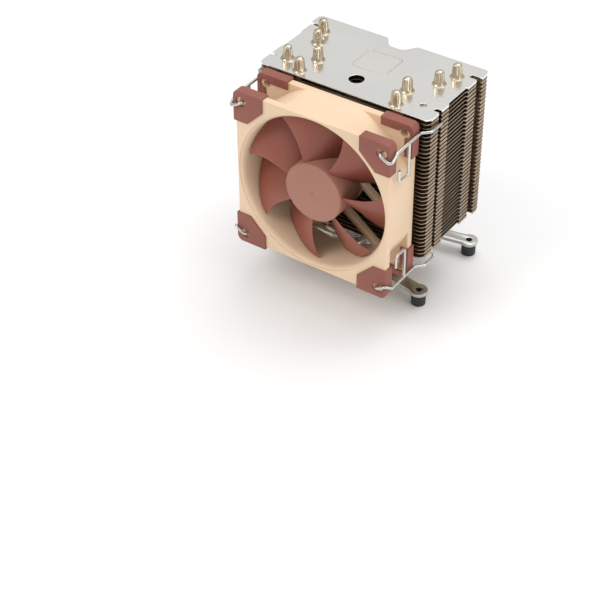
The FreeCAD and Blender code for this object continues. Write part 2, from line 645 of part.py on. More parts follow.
def make_corner_pad(sx, sz, is_front):
    """Rubber cap over one flange corner: a chamfered square in front, an angle-shaped band behind."""
    span = PAD_FRONT_SPAN if is_front else PAD_REAR_SPAN
    outer = FAN_HALF + PAD_SKIN
    inner = FAN_HALF - span
    if is_front:
        y0 = FAN_FRONT_Y - PAD_SKIN
        y1 = FAN_FRONT_Y + FLANGE_THICKNESS + PAD_BACK_SKIN
    else:
        y0 = FAN_BACK_Y - FLANGE_THICKNESS - PAD_BACK_SKIN
        y1 = FAN_BACK_Y + PAD_SKIN
    outline = [(inner, outer), (outer, outer), (outer, inner)]
    if is_front:
        outline += [(inner + PAD_CHAMFER, inner), (inner, inner + PAD_CHAMFER)]
    else:
        band = outer - PAD_REAR_BAND
        outline += [(band, inner), (band, band), (inner, band)]
    face = polygon_face([vec(x, y0, z) for x, z in outline])
    pad = face.extrude(vec(0, y1 - y0, 0))
    corner = []
    for edge in pad.Edges:
        a, b = edge.Vertexes[0].Point, edge.Vertexes[-1].Point
        if abs(a.y - b.y) > 1 and a.x > outer - 0.01 and a.z > outer - 0.01:
            corner.append(edge)
    pad = pad.makeFillet(PAD_CORNER_R, corner)
    flange0 = FAN_FRONT_Y - PAD_GAP if is_front else FAN_BACK_Y - FLANGE_THICKNESS - PAD_GAP
    flange1 = flange0 + FLANGE_THICKNESS + 2 * PAD_GAP
    hold = block(0, FAN_HALF + PAD_GAP, flange0, flange1, 0, FAN_HALF + PAD_GAP)
    core = Part.makeCylinder(POCKET_R + PAD_GAP, FAN_DEPTH - 2 * PAD_GAP, vec(0, FAN_FRONT_Y + PAD_GAP, 0), Y_AXIS)
    if is_front:
        core = core.cut(block(0, FAN_SIZE, FAN_FRONT_Y - 1, FAN_FRONT_Y + PAD_GAP, 0, FAN_SIZE))
    at = FAN_HOLE_SPACING / 2
    depth = y1 - y0
    slot = Part.makeCylinder(PAD_SLOT_R, depth, vec(at, y0, at), Y_AXIS)
    far = Part.makeCylinder(PAD_SLOT_R, depth, vec(at + PAD_SLOT_REACH, y0, at), Y_AXIS)
    web = block(at, at + PAD_SLOT_REACH, y0, y1, at - PAD_SLOT_R, at + PAD_SLOT_R)
    pad = pad.cut([hold, core, slot, far, web]).removeSplitter()
    if sx < 0:
        pad = pad.mirror(vec(0, 0, 0), X_AXIS)
    if sz < 0:
        pad = pad.mirror(vec(0, 0, 0), Z_AXIS)
    pad.translate(vec(0, 0, FAN_MID_Z))
    return pad


# ------------------------------------------------------------------ fan motor
def blade_section(share):
    """Closed section of a blade, share 0 at its root inside the hub wall and 1 at its tip."""
    root_r = HUB_R - HUB_WALL / 2
    radius = root_r + (BLADE_TIP_R + 1 - root_r) * share
    front = BLADE_ROOT_FRONT + (BLADE_TIP_FRONT - BLADE_ROOT_FRONT) * share
    back = BLADE_ROOT_BACK + (BLADE_TIP_BACK - BLADE_ROOT_BACK) * share
    span = math.radians(BLADE_ROOT_SPAN_DEG + (BLADE_TIP_SPAN_DEG - BLADE_ROOT_SPAN_DEG) * share)
    lead = math.radians(BLADE_TIP_SWEEP_DEG) * (2 * share ** 2 - share)
    half = BLADE_THICKNESS / 2
    upper, lower = [], []
    steps = 6
    for i in range(steps + 1):
        along = i / steps
        angle = lead - span * along
        camber = 0.18 * math.sin(math.pi * along)
        depth = front + (back - front) * (along - camber * (1 - along))
        thick = half * (0.35 + 0.65 * math.sin(math.pi * min(max(along, 0.05), 0.95)))
        x = radius * math.cos(angle)
        z = radius * math.sin(angle)
        upper.append(vec(x, FAN_FRONT_Y + depth - thick, z))
        lower.append(vec(x, FAN_FRONT_Y + depth + thick, z))
    top, bottom = Part.BSplineCurve(), Part.BSplineCurve()
    top.interpolate(upper)
    bottom.interpolate(lower)
    nose = Part.LineSegment(upper[0], lower[0]).toShape()
    tail = Part.LineSegment(upper[-1], lower[-1]).toShape()
    return Part.Wire([top.toShape(), tail, bottom.toShape(), nose])


def make_impeller():
    wires = [blade_section(share) for share in (0, 0.33, 0.66, 1)]
    blade = Part.makeLoft(wires, True, False)
    blade = blade.common(Part.makeCylinder(BLADE_TIP_R, FAN_DEPTH, vec(0, FAN_FRONT_Y, 0), Y_AXIS))
    blade = blade.cut(Part.makeCylinder(HUB_INNER_R, FAN_DEPTH, vec(0, FAN_FRONT_Y, 0), Y_AXIS))
    blades = []
    for i in range(BLADE_COUNT):
        turned = blade.copy()
        turned.rotate(vec(0, 0, 0), Y_AXIS, -(BLADE_FIRST_ANGLE + i * 360 / BLADE_COUNT))
        turned.translate(vec(0, 0, FAN_MID_Z))
        blades.append(turned)
    hub = along_fan(HUB_R, HUB_FRONT, HUB_BACK)
    hub = hub.cut(along_fan(HUB_INNER_R, HUB_FRONT + HUB_WALL, HUB_BACK))
    return hub.fuse(blades).removeSplitter()


def make_rotor_yoke():
    front = HUB_FRONT + HUB_WALL
    cup = along_fan(HUB_INNER_R, front, MAGNET_BACK)
    cup = cup.cut(along_fan(YOKE_INNER_R, front + YOKE_WALL, MAGNET_BACK))
    boss = along_fan(SHAFT_BOSS_R, front, MAGNET_FRONT)
    return cup.fuse(boss).cut(along_fan(SHAFT_R, front, MAGNET_FRONT)).removeSplitter()


def make_rotor_magnet():
    return fan_ring(YOKE_INNER_R, MAGNET_INNER_R, MAGNET_FRONT, MAGNET_BACK)


def clip_groove_front():
    return SLEEVE_BACK + STATOR_AIR_GAP


def make_rotor_shaft():
    shaft = along_fan(SHAFT_R, HUB_FRONT + HUB_WALL, SHAFT_BACK)
    front = clip_groove_front()
    groove = fan_ring(SHAFT_R + 1, SHAFT_R - RING_GROOVE_DEPTH, front, front + SHAFT_CLIP_T)
    return shaft.cut(groove)


def make_shaft_clip():
    front = clip_groove_front()
    return fan_ring(SHAFT_CLIP_R, SHAFT_R - RING_GROOVE_DEPTH, front, front + SHAFT_CLIP_T)


def make_bearing_sleeve():
    return fan_ring(SLEEVE_R, SHAFT_R + RUNNING_GAP, SLEEVE_FRONT, SLEEVE_BACK)


def make_stator_core():
    shoes = fan_ring(STATOR_R, STATOR_R - STATOR_SHOE, STATOR_FRONT, STATOR_BACK)
    gap = STATOR_NECK / 2
    slots = []
    necks = []
    for i in range(STATOR_POLES):
        angle = i * 360 / STATOR_POLES
        slot = block(0, STATOR_R + 1, FAN_FRONT_Y, FAN_BACK_Y, -gap / 2, gap / 2)
        slot.rotate(vec(0, 0, 0), Y_AXIS, angle + 180 / STATOR_POLES)
        slot.translate(vec(0, 0, FAN_MID_Z))
        slots.append(slot)
        neck = block(HOLDER_R, STATOR_R - STATOR_SHOE / 2, FAN_FRONT_Y + STATOR_FRONT, FAN_FRONT_Y + STATOR_BACK,
                     -STATOR_NECK / 2, STATOR_NECK / 2)
        neck.rotate(vec(0, 0, 0), Y_AXIS, angle)
        neck.translate(vec(0, 0, FAN_MID_Z))
        necks.append(neck)
    hub = along_fan(STATOR_HUB_R, STATOR_FRONT, STATOR_BACK)
    core = shoes.cut(slots).fuse(necks + [hub])
    return core.cut(along_fan(HOLDER_R, STATOR_FRONT, STATOR_BACK)).removeSplitter()


def make_stator_windings():
    coils = []
    inner = STATOR_HUB_R + SOLDER_GAP
    front = FAN_FRONT_Y + STATOR_FRONT
    back = FAN_FRONT_Y + STATOR_BACK
    half = STATOR_NECK / 2
    outer = math.sqrt((STATOR_R - STATOR_SHOE) ** 2 - (half + WINDING_BUILD) ** 2) - SOLDER_GAP
    for i in range(STATOR_POLES):
        coil = block(inner, outer, front - WINDING_BUILD, back + WINDING_BUILD, -half - WINDING_BUILD,
                     half + WINDING_BUILD)
        core = block(inner, outer, front - SOLDER_GAP, back + SOLDER_GAP, -half - SOLDER_GAP, half + SOLDER_GAP)
        coil = coil.cut(core)
        coil.rotate(vec(0, 0, 0), Y_AXIS, i * 360 / STATOR_POLES)
        coil.translate(vec(0, 0, FAN_MID_Z))
        coils.append(coil)
    return Part.makeCompound(coils)


def make_fan_circuit_board():
    return fan_ring(CIRCUIT_R, HOLDER_R + FIN_PIPE_GAP, CIRCUIT_FRONT, CIRCUIT_FRONT + CIRCUIT_T)


# ------------------------------------------------------------------ fan clips
def make_right_clip():
    """Spring wire: hook, stretch round the pad, arm to the notch, run down it, and the same below."""
    hook_x, top_z = fan_corner(1, 1)
    arm_z = FAN_MID_Z + FAN_HALF - CLIP_ARM_DROP
    upper = [
        vec(hook_x, FAN_FRONT_Y + CLIP_HOOK_DEPTH, top_z),
        vec(hook_x, CLIP_FRONT_Y, top_z),
        vec(CLIP_SIDE_X, CLIP_FRONT_Y, top_z - CLIP_EDGE_DROP),
        vec(CLIP_SIDE_X, FAN_FRONT_Y + CLIP_LOOP_FRONT / 2, arm_z),
        vec(CLIP_SIDE_X, FAN_BACK_Y, arm_z),
        vec(CLIP_FIN_X, FIN_FRONT_Y + CLIP_BEND_R, arm_z),
        vec(CLIP_FIN_X, CLIP_NOTCH_Y + CLIP_GAP, arm_z),
        vec(CLIP_NOTCH_X, CLIP_NOTCH_Y + CLIP_GAP, arm_z - 2 * CLIP_BEND_R),
    ]
    lower = [vec(point.x, point.y, 2 * FAN_MID_Z - point.z) for point in reversed(upper)]
    points = upper + lower
    wire = round_bar(bent_path(points, [CLIP_BEND_R] * (len(points) - 2)), CLIP_WIRE_R)
    loops = [finger_loop(arm_z, -1), finger_loop(2 * FAN_MID_Z - arm_z, 1)]
    return wire.fuse(loops).removeSplitter()


def finger_loop(arm_z, down):
    """Short bent wire welded to an arm, for a finger to pull the clip out of its notch."""
    front = FAN_FRONT_Y + CLIP_LOOP_FRONT
    back = FAN_FRONT_Y + CLIP_LOOP_BACK
    points = [
        vec(CLIP_SIDE_X, back, arm_z),
        vec(CLIP_SIDE_X, back, arm_z + down * CLIP_LOOP_DROP),
        vec(CLIP_SIDE_X, front, arm_z + down * CLIP_LOOP_DROP),
        vec(CLIP_SIDE_X, front, arm_z + down * (CLIP_LOOP_DROP - CLIP_LOOP_RETURN)),
    ]
    return round_bar(bent_path(points, [CLIP_BEND_R] * 2), CLIP_WIRE_R)


# ------------------------------------------------------------------ every node, then the files
def build_nodes():
    nodes = {
        "cold_plate": make_cold_plate(),
        "base_cap": make_base_cap(),
        "cooling_fins": make_cooling_fins(),
        "top_fin": make_top_fin(),
        "fastening_bridge": make_fastening_bridge(),
        "bridge_screws": make_bridge_screws(),
        "board_spacers": make_board_spacers(),
        "fan_frame": make_fan_frame(),
        "fan_flanges": make_fan_flanges(),
        "fan_motor_mount": make_fan_motor_mount(),
        "impeller": make_impeller(),
        "rotor_yoke": make_rotor_yoke(),
        "rotor_magnet": make_rotor_magnet(),
        "rotor_shaft": make_rotor_shaft(),
        "shaft_clip": make_shaft_clip(),
        "bearing_sleeve": make_bearing_sleeve(),
        "stator_core": make_stator_core(),
        "stator_windings": make_stator_windings(),
        "fan_circuit_board": make_fan_circuit_board(),
    }
    for index in range(len(PIPE_LEGS)):
        nodes["heat_pipe_%d" % (index + 1)] = make_heat_pipe(index)
    for place, side in (("front", -1), ("rear", 1)):
        nodes["captive_screw_" + place] = make_captive_screw(side)
        nodes["screw_spring_" + place] = make_screw_spring(side)
        nodes["retaining_ring_" + place] = make_retaining_ring(side)
        nodes["mounting_bar_" + place] = make_mounting_bar(side)
        nodes["bar_bush_" + place] = make_bar_bush(side)
    for place, is_front in (("front", True), ("rear", False)):
        for level, sz in (("top", 1), ("bottom", -1)):
            for hand, sx in (("left", -1), ("right", 1)):
                nodes["corner_pad_%s_%s_%s" % (place, level, hand)] = make_corner_pad(sx, sz, is_front)
    clip = make_right_clip()
    nodes["fan_clip_right"] = clip
    nodes["fan_clip_left"] = mirrored(clip)
    return nodes


os.makedirs("parts", exist_ok=True)
for name, shape in sorted(build_nodes().items()):
    box = shape.BoundBox
    print("%-28s solids %2d  valid %s  volume %9.1f  x %6.1f %6.1f  y %6.1f %6.1f  z %6.1f %6.1f" % (
        name, len(shape.Solids), shape.isValid(), shape.Volume,
        box.XMin, box.XMax, box.YMin, box.YMax, box.ZMin, box.ZMax))
    shape.exportStep("parts/%s.step" % name)
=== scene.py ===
# %% [markdown]
# # A tower cooler for a processor, dressed for its picture
# The sizes and joints of this cooler are settled already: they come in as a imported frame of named
# parts. This lesson gives each part the shape and finish that a camera sees. Everything is in
# metres, and every place is read from the frame or worked out from a size that is named here.

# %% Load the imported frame
import math

import bmesh
import bpy
import numpy as np
from mathutils import Matrix, Vector


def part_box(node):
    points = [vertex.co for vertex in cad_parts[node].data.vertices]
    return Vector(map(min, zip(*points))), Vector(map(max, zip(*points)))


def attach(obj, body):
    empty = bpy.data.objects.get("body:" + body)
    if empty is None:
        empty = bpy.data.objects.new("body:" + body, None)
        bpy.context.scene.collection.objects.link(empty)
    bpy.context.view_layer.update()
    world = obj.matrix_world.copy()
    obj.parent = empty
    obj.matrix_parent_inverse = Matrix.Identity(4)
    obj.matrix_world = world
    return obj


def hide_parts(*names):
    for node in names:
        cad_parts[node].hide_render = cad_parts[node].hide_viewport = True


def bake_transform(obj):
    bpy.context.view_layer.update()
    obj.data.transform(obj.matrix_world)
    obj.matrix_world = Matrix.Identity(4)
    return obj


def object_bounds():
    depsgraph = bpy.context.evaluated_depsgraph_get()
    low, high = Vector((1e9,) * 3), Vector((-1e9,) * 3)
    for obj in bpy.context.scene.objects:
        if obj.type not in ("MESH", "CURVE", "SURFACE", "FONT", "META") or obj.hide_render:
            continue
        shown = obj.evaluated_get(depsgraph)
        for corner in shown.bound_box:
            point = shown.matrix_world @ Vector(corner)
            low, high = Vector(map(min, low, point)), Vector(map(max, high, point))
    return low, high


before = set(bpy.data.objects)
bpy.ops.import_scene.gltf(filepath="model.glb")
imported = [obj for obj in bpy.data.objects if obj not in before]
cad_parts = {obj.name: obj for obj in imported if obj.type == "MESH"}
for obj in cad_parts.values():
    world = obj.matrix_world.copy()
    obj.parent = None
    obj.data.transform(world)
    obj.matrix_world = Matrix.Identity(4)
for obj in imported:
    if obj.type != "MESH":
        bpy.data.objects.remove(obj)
frame_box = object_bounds()
MM = 0.001

# %% [markdown]
# ## Camera first
# The cooler is looked at from its front right, from well above. A long lens keeps the fins nearly
# parallel. The camera is placed by its position and three angles, so that later pieces can be
# judged from the same spot each time.

# %% Camera
CAMERA_AT = Vector((0.3715, -0.6057, 0.5327))
CAMERA_AZIMUTH = math.radians(34.96)
CAMERA_ELEVATION = math.radians(39.15)
CAMERA_ROLL = math.radians(-0.5)
SENSOR = 36.0
FOCAL_WIDTHS = 2.6275       # focal length as a multiple of the picture's width

camera_data = bpy.data.cameras.new("camera")
camera_data.sensor_width = SENSOR
camera_data.lens = SENSOR * FOCAL_WIDTHS
camera = bpy.data.objects.new("camera", camera_data)
bpy.context.scene.collection.objects.link(camera)
toward = Matrix.Rotation(CAMERA_AZIMUTH, 4, "Z") @ Matrix.Rotation(math.pi / 2 - CAMERA_ELEVATION, 4, "X")
camera.matrix_world = Matrix.Translation(CAMERA_AT) @ toward @ Matrix.Rotation(CAMERA_ROLL, 4, "Z")
bpy.context.scene.camera = camera
bpy.context.scene.view_settings.view_transform = "Standard"
print("lens %.1f mm" % camera_data.lens)

# %% [markdown]
# ## Shader maths as plain expressions
# A shader tree is easier to read as arithmetic than as a web of boxes. `Signal` wraps one socket,
# and its operators add Math nodes, also when a plain number stands on the left.


# %% Signals
class Signal:
    """One output socket of a shader tree. Arithmetic on it adds Math nodes."""

    def __init__(self, finish, socket):
        self.finish = finish
        self.socket = socket

    def maths(self, operation, *values):
        return self.finish.node("ShaderNodeMath", {"operation": operation}, *values)

    def __add__(self, other):
        return self.maths("ADD", self, other)

    def __mul__(self, other):
        return self.maths("MULTIPLY", self, other)

    __radd__ = __add__
    __rmul__ = __mul__

    def between(self, low, high):
        """0 below low, 1 above high, and straight between them."""
        return self.finish.node("ShaderNodeMapRange", {"clamp": True}, self, low, high, 0.0, 1.0)


print("signals ready")

# %% [markdown]
# `Finish` holds a material, and one method adds any other node to it by the node's type, its
# settings and what goes into its sockets. Noise, mixing of colours and relief come up in every
# finish of this cooler, so each has a short way of its own.


# %% Finishes
class Finish:
    """A material with one Principled shader, and short ways to build what feeds it."""

    def __init__(self, name, metallic=0.0, roughness=0.5, coat=0.0):
        self.material = bpy.data.materials.new(name)
        self.material.use_nodes = True
        self.tree = self.material.node_tree
        self.shader = self.tree.nodes["Principled BSDF"]
        self.feed("Metallic", metallic)
        self.feed("Roughness", roughness)
        self.feed("Coat Weight", coat)
        self.place = self.node("ShaderNodeTexCoord", out="Object")

    def plug(self, socket, value):
        if isinstance(value, Signal):
            self.tree.links.new(value.socket, socket)
        else:
            socket.default_value = value

    def node(self, kind, settings=None, *values, out=0, **named):
        made = self.tree.nodes.new(kind)
        for key, value in (settings or {}).items():
            setattr(made, key, value)
        for index, value in enumerate(values):
            self.plug(made.inputs[index], value)
        for key, value in named.items():
            self.plug(made.inputs[key], value)
        return Signal(self, made.outputs[out])

    def feed(self, name, value):
        self.plug(self.shader.inputs[name], value)

    def noise(self, per_metre, detail=3.0, stretch=(1, 1, 1), rough=0.5):
        """Noise from 0 to 1. per_metre is its frequency, and stretch multiplies that along X, Y and Z."""
        scaled = self.node("ShaderNodeMapping", None, self.place, Scale=stretch)
        return self.node("ShaderNodeTexNoise", None, Vector=scaled, Scale=per_metre, Detail=detail,
                         Roughness=rough)

    def attribute(self, name):
        return self.node("ShaderNodeAttribute", {"attribute_name": name}, out="Fac")

    def mix(self, first, second, share):
        made = self.tree.nodes.new("ShaderNodeMix")
        made.data_type = "RGBA"
        factor, low, high = (s for s in made.inputs if s.enabled)
        self.plug(factor, share)
        self.plug(low, first)
        self.plug(high, second)
        return Signal(self, next(s for s in made.outputs if s.enabled))

    def bump(self, height, depth, strength=1.0):
        """Relief of the given depth in metres."""
        raised = self.node("ShaderNodeBump", None, Strength=strength, Distance=depth, Height=height)
        self.feed("Normal", raised)


def colour(red, green, blue):
    """A colour from 0 to 255 in each channel, as the linear values that a shader takes."""
    linear = []
    for channel in (red, green, blue):
        share = channel / 255
        linear.append(share / 12.92 if share <= 0.04045 else ((share + 0.055) / 1.055) ** 2.4)
    return (*linear, 1.0)


print("ready to mix finishes")

# %% [markdown]
# ## Plated metal
# Most metal pieces here are nickel-plated, but no two look alike: the top fin is cool silver with
# faint handling marks, the fins below are a darker warm grey-brown, and the pipe tips are champagne.
# The fins' darker colour is partly their plating's warm tone and partly painted shade, standing in
# for the shade between the close sheets. One function takes the two colours that a metal drifts
# between, the direction of its fine brushing, and how rough it is.


# %% Plated metals
def plated(name, light, dark, roughness, brushed=(1, 1, 1), grain=900.0, relief=0.01, cloud=45.0,
           wear=0.09):
    """Brushed metal. relief is in millimetres, and wear is how far marks change the roughness."""
    finish = Finish(name, metallic=1.0)
    drift = finish.noise(cloud, detail=4.0).between(0.32, 0.68)
    lines = finish.noise(grain, detail=2.0, stretch=brushed)
    finish.feed("Base Color", finish.mix(dark, light, drift * 0.75 + lines * 0.25))
    smudge = finish.noise(cloud * 2.3, detail=5.0, rough=0.65).between(0.35, 0.75)
    finish.feed("Roughness", roughness + smudge * wear + lines * wear)
    if relief:
        finish.bump(lines, relief * MM)
    return finish


top_finish = plated("top_fin_nickel", colour(238, 237, 233), colour(228, 227, 222), 0.17, grain=600.0,
                    relief=0, cloud=20.0, wear=0.04)
tip_finish = plated("crimped_tip_nickel", colour(216, 203, 182), colour(190, 173, 148), 0.2,
                    brushed=(1, 1, 0.15), grain=700.0, relief=0.002)
pipe_finish = plated("heat_pipe_nickel", colour(196, 178, 154), colour(168, 146, 122), 0.24,
                     brushed=(1, 1, 0.15), grain=700.0, relief=0.002)
base_finish = plated("machined_nickel", colour(212, 208, 199), colour(194, 188, 178), 0.22,
                     brushed=(0.3, 1, 1), grain=900.0, relief=0.0008, wear=0.05)
bar_finish = plated("mounting_bar_nickel", colour(204, 203, 198), colour(182, 180, 174), 0.26,
                    brushed=(0.5, 1, 1), relief=0.001, wear=0.05)
screw_finish = plated("screw_nickel", colour(208, 206, 200), colour(168, 165, 158), 0.22,
                      brushed=(1, 1, 6), relief=0.01)
spring_finish = plated("spring_wire", colour(196, 194, 190), colour(150, 148, 144), 0.22)
clip_finish = plated("clip_wire", colour(216, 216, 212), colour(190, 189, 185), 0.16, relief=0)
bush_finish = plated("bush_nickel", colour(220, 212, 190), colour(190, 180, 152), 0.24)
yoke_finish = plated("yoke_steel", colour(150, 150, 150), colour(120, 120, 122), 0.4)
bearing_finish = plated("bearing_bronze", colour(196, 156, 96), colour(160, 120, 66), 0.4)
winding_finish = plated("copper_winding", colour(206, 120, 66), colour(170, 88, 44), 0.32,
                        brushed=(1, 8, 1), grain=1500.0, relief=0.05)
print("plated metals ready")

# %% [markdown]
# The fins need one thing more. Each is a separate stamping, so the tone of the plating steps a
# little from one to the next. The stack stores a random number on every fin, and the finish reads
# it back as an attribute.

# %% Fin plating
FIN_TONE = "fin_tone"


def fin_plating():
    finish = Finish("fin_nickel", metallic=1.0)
    tone = finish.attribute(FIN_TONE)
    drift = finish.noise(28.0, detail=3.0).between(0.3, 0.7)
    # The base colour is kept dark: partly the plating's warm tone, partly painted shade for the gaps
    # between the sheets.
    bronze_and_shade = finish.mix(colour(148, 127, 105), colour(186, 168, 146), drift * 0.6 + tone * 0.4)
    finish.feed("Base Color", bronze_and_shade)
    grain = finish.noise(1400.0, detail=2.0, stretch=(1, 1, 0.2))
    finish.feed("Roughness", 0.3 + grain * 0.12 + tone * 0.06)
    finish.bump(grain, 0.006 * MM)
    return finish


fin_shaded_finish = fin_plating()

# %% [markdown]
# ## Moulded plastic and rubber
# The beige frame is glass-filled and matt, the impeller is a smoother red-brown, and the corner
# pads are soft silicone. All three share a recipe: two near colours drifting into each other, a
# fine grain in the relief, and roughness that follows the grain.


# %% Plastics and rubber
def moulded(name, light, dark, roughness, grain=2600.0, relief=0.02, cloud=30.0, coat=0.0):
    finish = Finish(name, coat=coat)
    drift = finish.noise(cloud, detail=3.0).between(0.3, 0.7)
    speck = finish.noise(grain, detail=2.0)
    finish.feed("Base Color", finish.mix(dark, light, drift * 0.8 + speck * 0.2))
    finish.feed("Roughness", roughness + speck * 0.12)
    finish.bump(speck, relief * MM)
    return finish


frame_finish = moulded("frame_beige", colour(234, 206, 176), colour(226, 197, 165), 0.46)
blade_finish = moulded("impeller_brown", colour(150, 83, 67), colour(137, 73, 58), 0.34, relief=0.012)
# The hub is the same plastic as the blades; its lighter, pinker colour is a painted sheen for the light on
# its flat face.
hub_sheen_finish = moulded("hub_brown_painted_sheen", colour(170, 120, 103), colour(161, 111, 95), 0.5, relief=0.02)
pad_finish = moulded("pad_rubber", colour(148, 88, 74), colour(135, 78, 66), 0.52, relief=0.03)
spacer_finish = moulded("spacer_black", colour(42, 42, 44), colour(30, 30, 32), 0.5)
ferrite_finish = moulded("ferrite", colour(58, 56, 56), colour(44, 42, 43), 0.6)
lamination_finish = moulded("lamination", colour(112, 110, 108), colour(86, 84, 82), 0.5, relief=0.04)
board_finish = moulded("circuit_green", colour(34, 96, 58), colour(24, 76, 44), 0.4, coat=0.3)
print("plastics and rubber ready")

# %% [markdown]
# ## Small tools for meshes
# A few shapes come back all over the cooler: a loop with rounded corners, a sheet cut to such a
# loop, and a profile carried through a row of rings. Each gets one short function, so the cells
# that follow can say what they make and not how vertices are joined.

# %% Loops in a plane
ARC_STEP = math.radians(9)
SQUARE = ((-1, -1), (1, -1), (1, 1), (-1, 1))       # the corners of a square, in order


def round_loop(x, y, radius, count=32):
    angles = (2 * math.pi * i / count for i in range(count))
    return [(x + radius * math.cos(a), y + radius * math.sin(a)) for a in angles]


def arc_round(before, corner, after, radius):
    """Points of the arc that rounds one corner of a path, tangent to both of its runs."""
    back = (before - corner).normalized()
    ahead = (after - corner).normalized()
    turn = math.pi - back.angle(ahead)
    reach = radius * math.tan(turn / 2)
    centre = corner + (back + ahead).normalized() * (radius / math.cos(turn / 2))
    start = corner + back * reach - centre
    end = corner + ahead * reach - centre
    steps = max(2, round(turn / ARC_STEP))
    arc = []
    for i in range(steps + 1):
        swung = turn * i / steps
        arc.append(centre + (start * math.sin(turn - swung) + end * math.sin(swung)) / math.sin(turn))
    return arc


def rounded_loop(corners):
    """A closed loop through (x, y, radius) corners."""
    points = [Vector((x, y, 0)) for x, y, _ in corners]
    loop = []
    for i, (x, y, radius) in enumerate(corners):
        if radius > 0:
            after = points[(i + 1) % len(points)]
            loop += [(p.x, p.y) for p in arc_round(points[i - 1], points[i], after, radius)]
        else:
            loop.append((x, y))
    return loop


print("a corner takes a step each %.0f degrees" % math.degrees(ARC_STEP))

# %% [markdown]
# A mesh that is built by hand can have doubled points and faces that look inwards. `show` mends
# both as it puts the mesh in the scene, and keeps shading smooth except across real edges.

# %% Putting a mesh in the scene
SMOOTH_BELOW = math.radians(38)


def show(mesh, name, smooth_below=SMOOTH_BELOW):
    """Puts a mesh in the scene, with doubles merged, faces outwards and only real edges sharp."""
    tidy = bmesh.new()
    tidy.from_mesh(mesh)
    bmesh.ops.remove_doubles(tidy, verts=tidy.verts, dist=1e-6)
    bmesh.ops.dissolve_degenerate(tidy, edges=tidy.edges, dist=1e-6)
    bmesh.ops.recalc_face_normals(tidy, faces=tidy.faces)
    tidy.to_mesh(mesh)
    tidy.free()
    mesh.name = name
    mesh.shade_smooth()
    mesh.set_sharp_from_angle(angle=smooth_below)
    piece = bpy.data.objects.new(name, mesh)
    bpy.context.scene.collection.objects.link(piece)
    return piece


def plain_mesh(piece):
    """What a piece's modifiers or curve settings make of it, as a plain mesh."""
    shapes = bpy.context.evaluated_depsgraph_get()
    shapes.update()
    return bpy.data.meshes.new_from_object(piece.evaluated_get(shapes))


print("edges stay sharp above %.0f degrees" % math.degrees(SMOOTH_BELOW))

# %% [markdown]
# Three makers of meshes follow. Rings of points joined in a row give anything with a section that
# changes along its way. A flat curve with holes gives a sheet, which is quicker and cleaner than a
# Boolean. A profile turned about an axis is a special row of rings.


# %% Meshes from rings, sheets and profiles
def ring_mesh(name, rings, loop=False, capped=True):
    """A mesh through rings of points, each ring closed. A loop joins its last ring to its first."""
    rings = np.asarray(rings, float)
    count, around = rings.shape[:2]
    faces = []
    for i in range(count if loop else count - 1):
        here, there = i * around, ((i + 1) % count) * around
        for j in range(around):
            k = (j + 1) % around
            faces.append((here + j, here + k, there + k, there + j))
    if capped and not loop:
        faces.append(tuple(range(around)))
        faces.append(tuple((count - 1) * around + j for j in reversed(range(around))))
    mesh = bpy.data.meshes.new(name)
    mesh.from_pydata(rings.reshape(-1, 3).tolist(), [], faces)
    return mesh


def sheet_mesh(name, outline, holes, low, high, edge=0.00015):
    """A flat sheet cut to a loop with holes, from height low to high, its edges eased by edge."""
    curve = bpy.data.curves.new(name, "CURVE")
    curve.dimensions = "2D"
    curve.fill_mode = "BOTH"
    curve.extrude = (high - low) / 2 - edge
    curve.bevel_depth = edge
    curve.bevel_resolution = 1
    curve.offset = -edge
    for loop in [outline] + list(holes):
        spline = curve.splines.new("POLY")
        spline.points.add(len(loop) - 1)
        for point, (x, y) in zip(spline.points, loop):
            point.co = (x, y, 0, 1)
        spline.use_cyclic_u = True
    holder = bpy.data.objects.new(name, curve)
    bpy.context.scene.collection.objects.link(holder)
    mesh = plain_mesh(holder)
    mesh.transform(Matrix.Translation((0, 0, (low + high) / 2)))
    bpy.data.objects.remove(holder)
    bpy.data.curves.remove(curve)
    return mesh


def turned_mesh(name, profile, centre, axis="Z", count=48, closed=False):
    """A profile of (radius, height) turned about an axis through centre. Closed joins its ends."""
    rings = []
    for radius, height in profile:
        ring = []
        for j in range(count):
            a = 2 * math.pi * j / count
            c, s = radius * math.cos(a), radius * math.sin(a)
            ring.append((c, s, height) if axis == "Z" else (c, height, s))
        rings.append(np.array(ring) + np.array(centre))
    return ring_mesh(name, rings, loop=closed)


print("three makers of meshes ready")

# %% [markdown]
# A finished piece needs four things said about it: its finish, the body that it moves with, the
# material slot that it stands in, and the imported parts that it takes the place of.


# %% Joining and painting
def joined(name, meshes):
    """Several meshes as one."""
    whole = bmesh.new()
    for mesh in meshes:
        whole.from_mesh(mesh)
        bpy.data.meshes.remove(mesh)
    mesh = bpy.data.meshes.new(name)
    whole.to_mesh(mesh)
    whole.free()
    return mesh


def paint(piece, finish, body="root", stands_for=()):
    """Finish, body, slot and replaced nodes of a piece, in one line."""
    if finish.material.name not in [m.name for m in piece.data.materials if m]:
        piece.data.materials.clear()
        piece.data.materials.append(finish.material)
    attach(piece, body)
    if stands_for:
        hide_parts(*stands_for)
    return piece


print("pieces can be joined and painted")

# %% [markdown]
# ## Geometry Nodes in a few lines
# What repeats on this cooler is made with Geometry Nodes: fins in a stack, blades round the hub,
# tips on the pipe ends, the turns of the springs. `Recipe` builds such a tree with named inputs.
# The tree always ends in Realize Instances and Set Material, and `cook` turns its result into a
# plain mesh, because instances and live modifiers are lost when a model is exported.


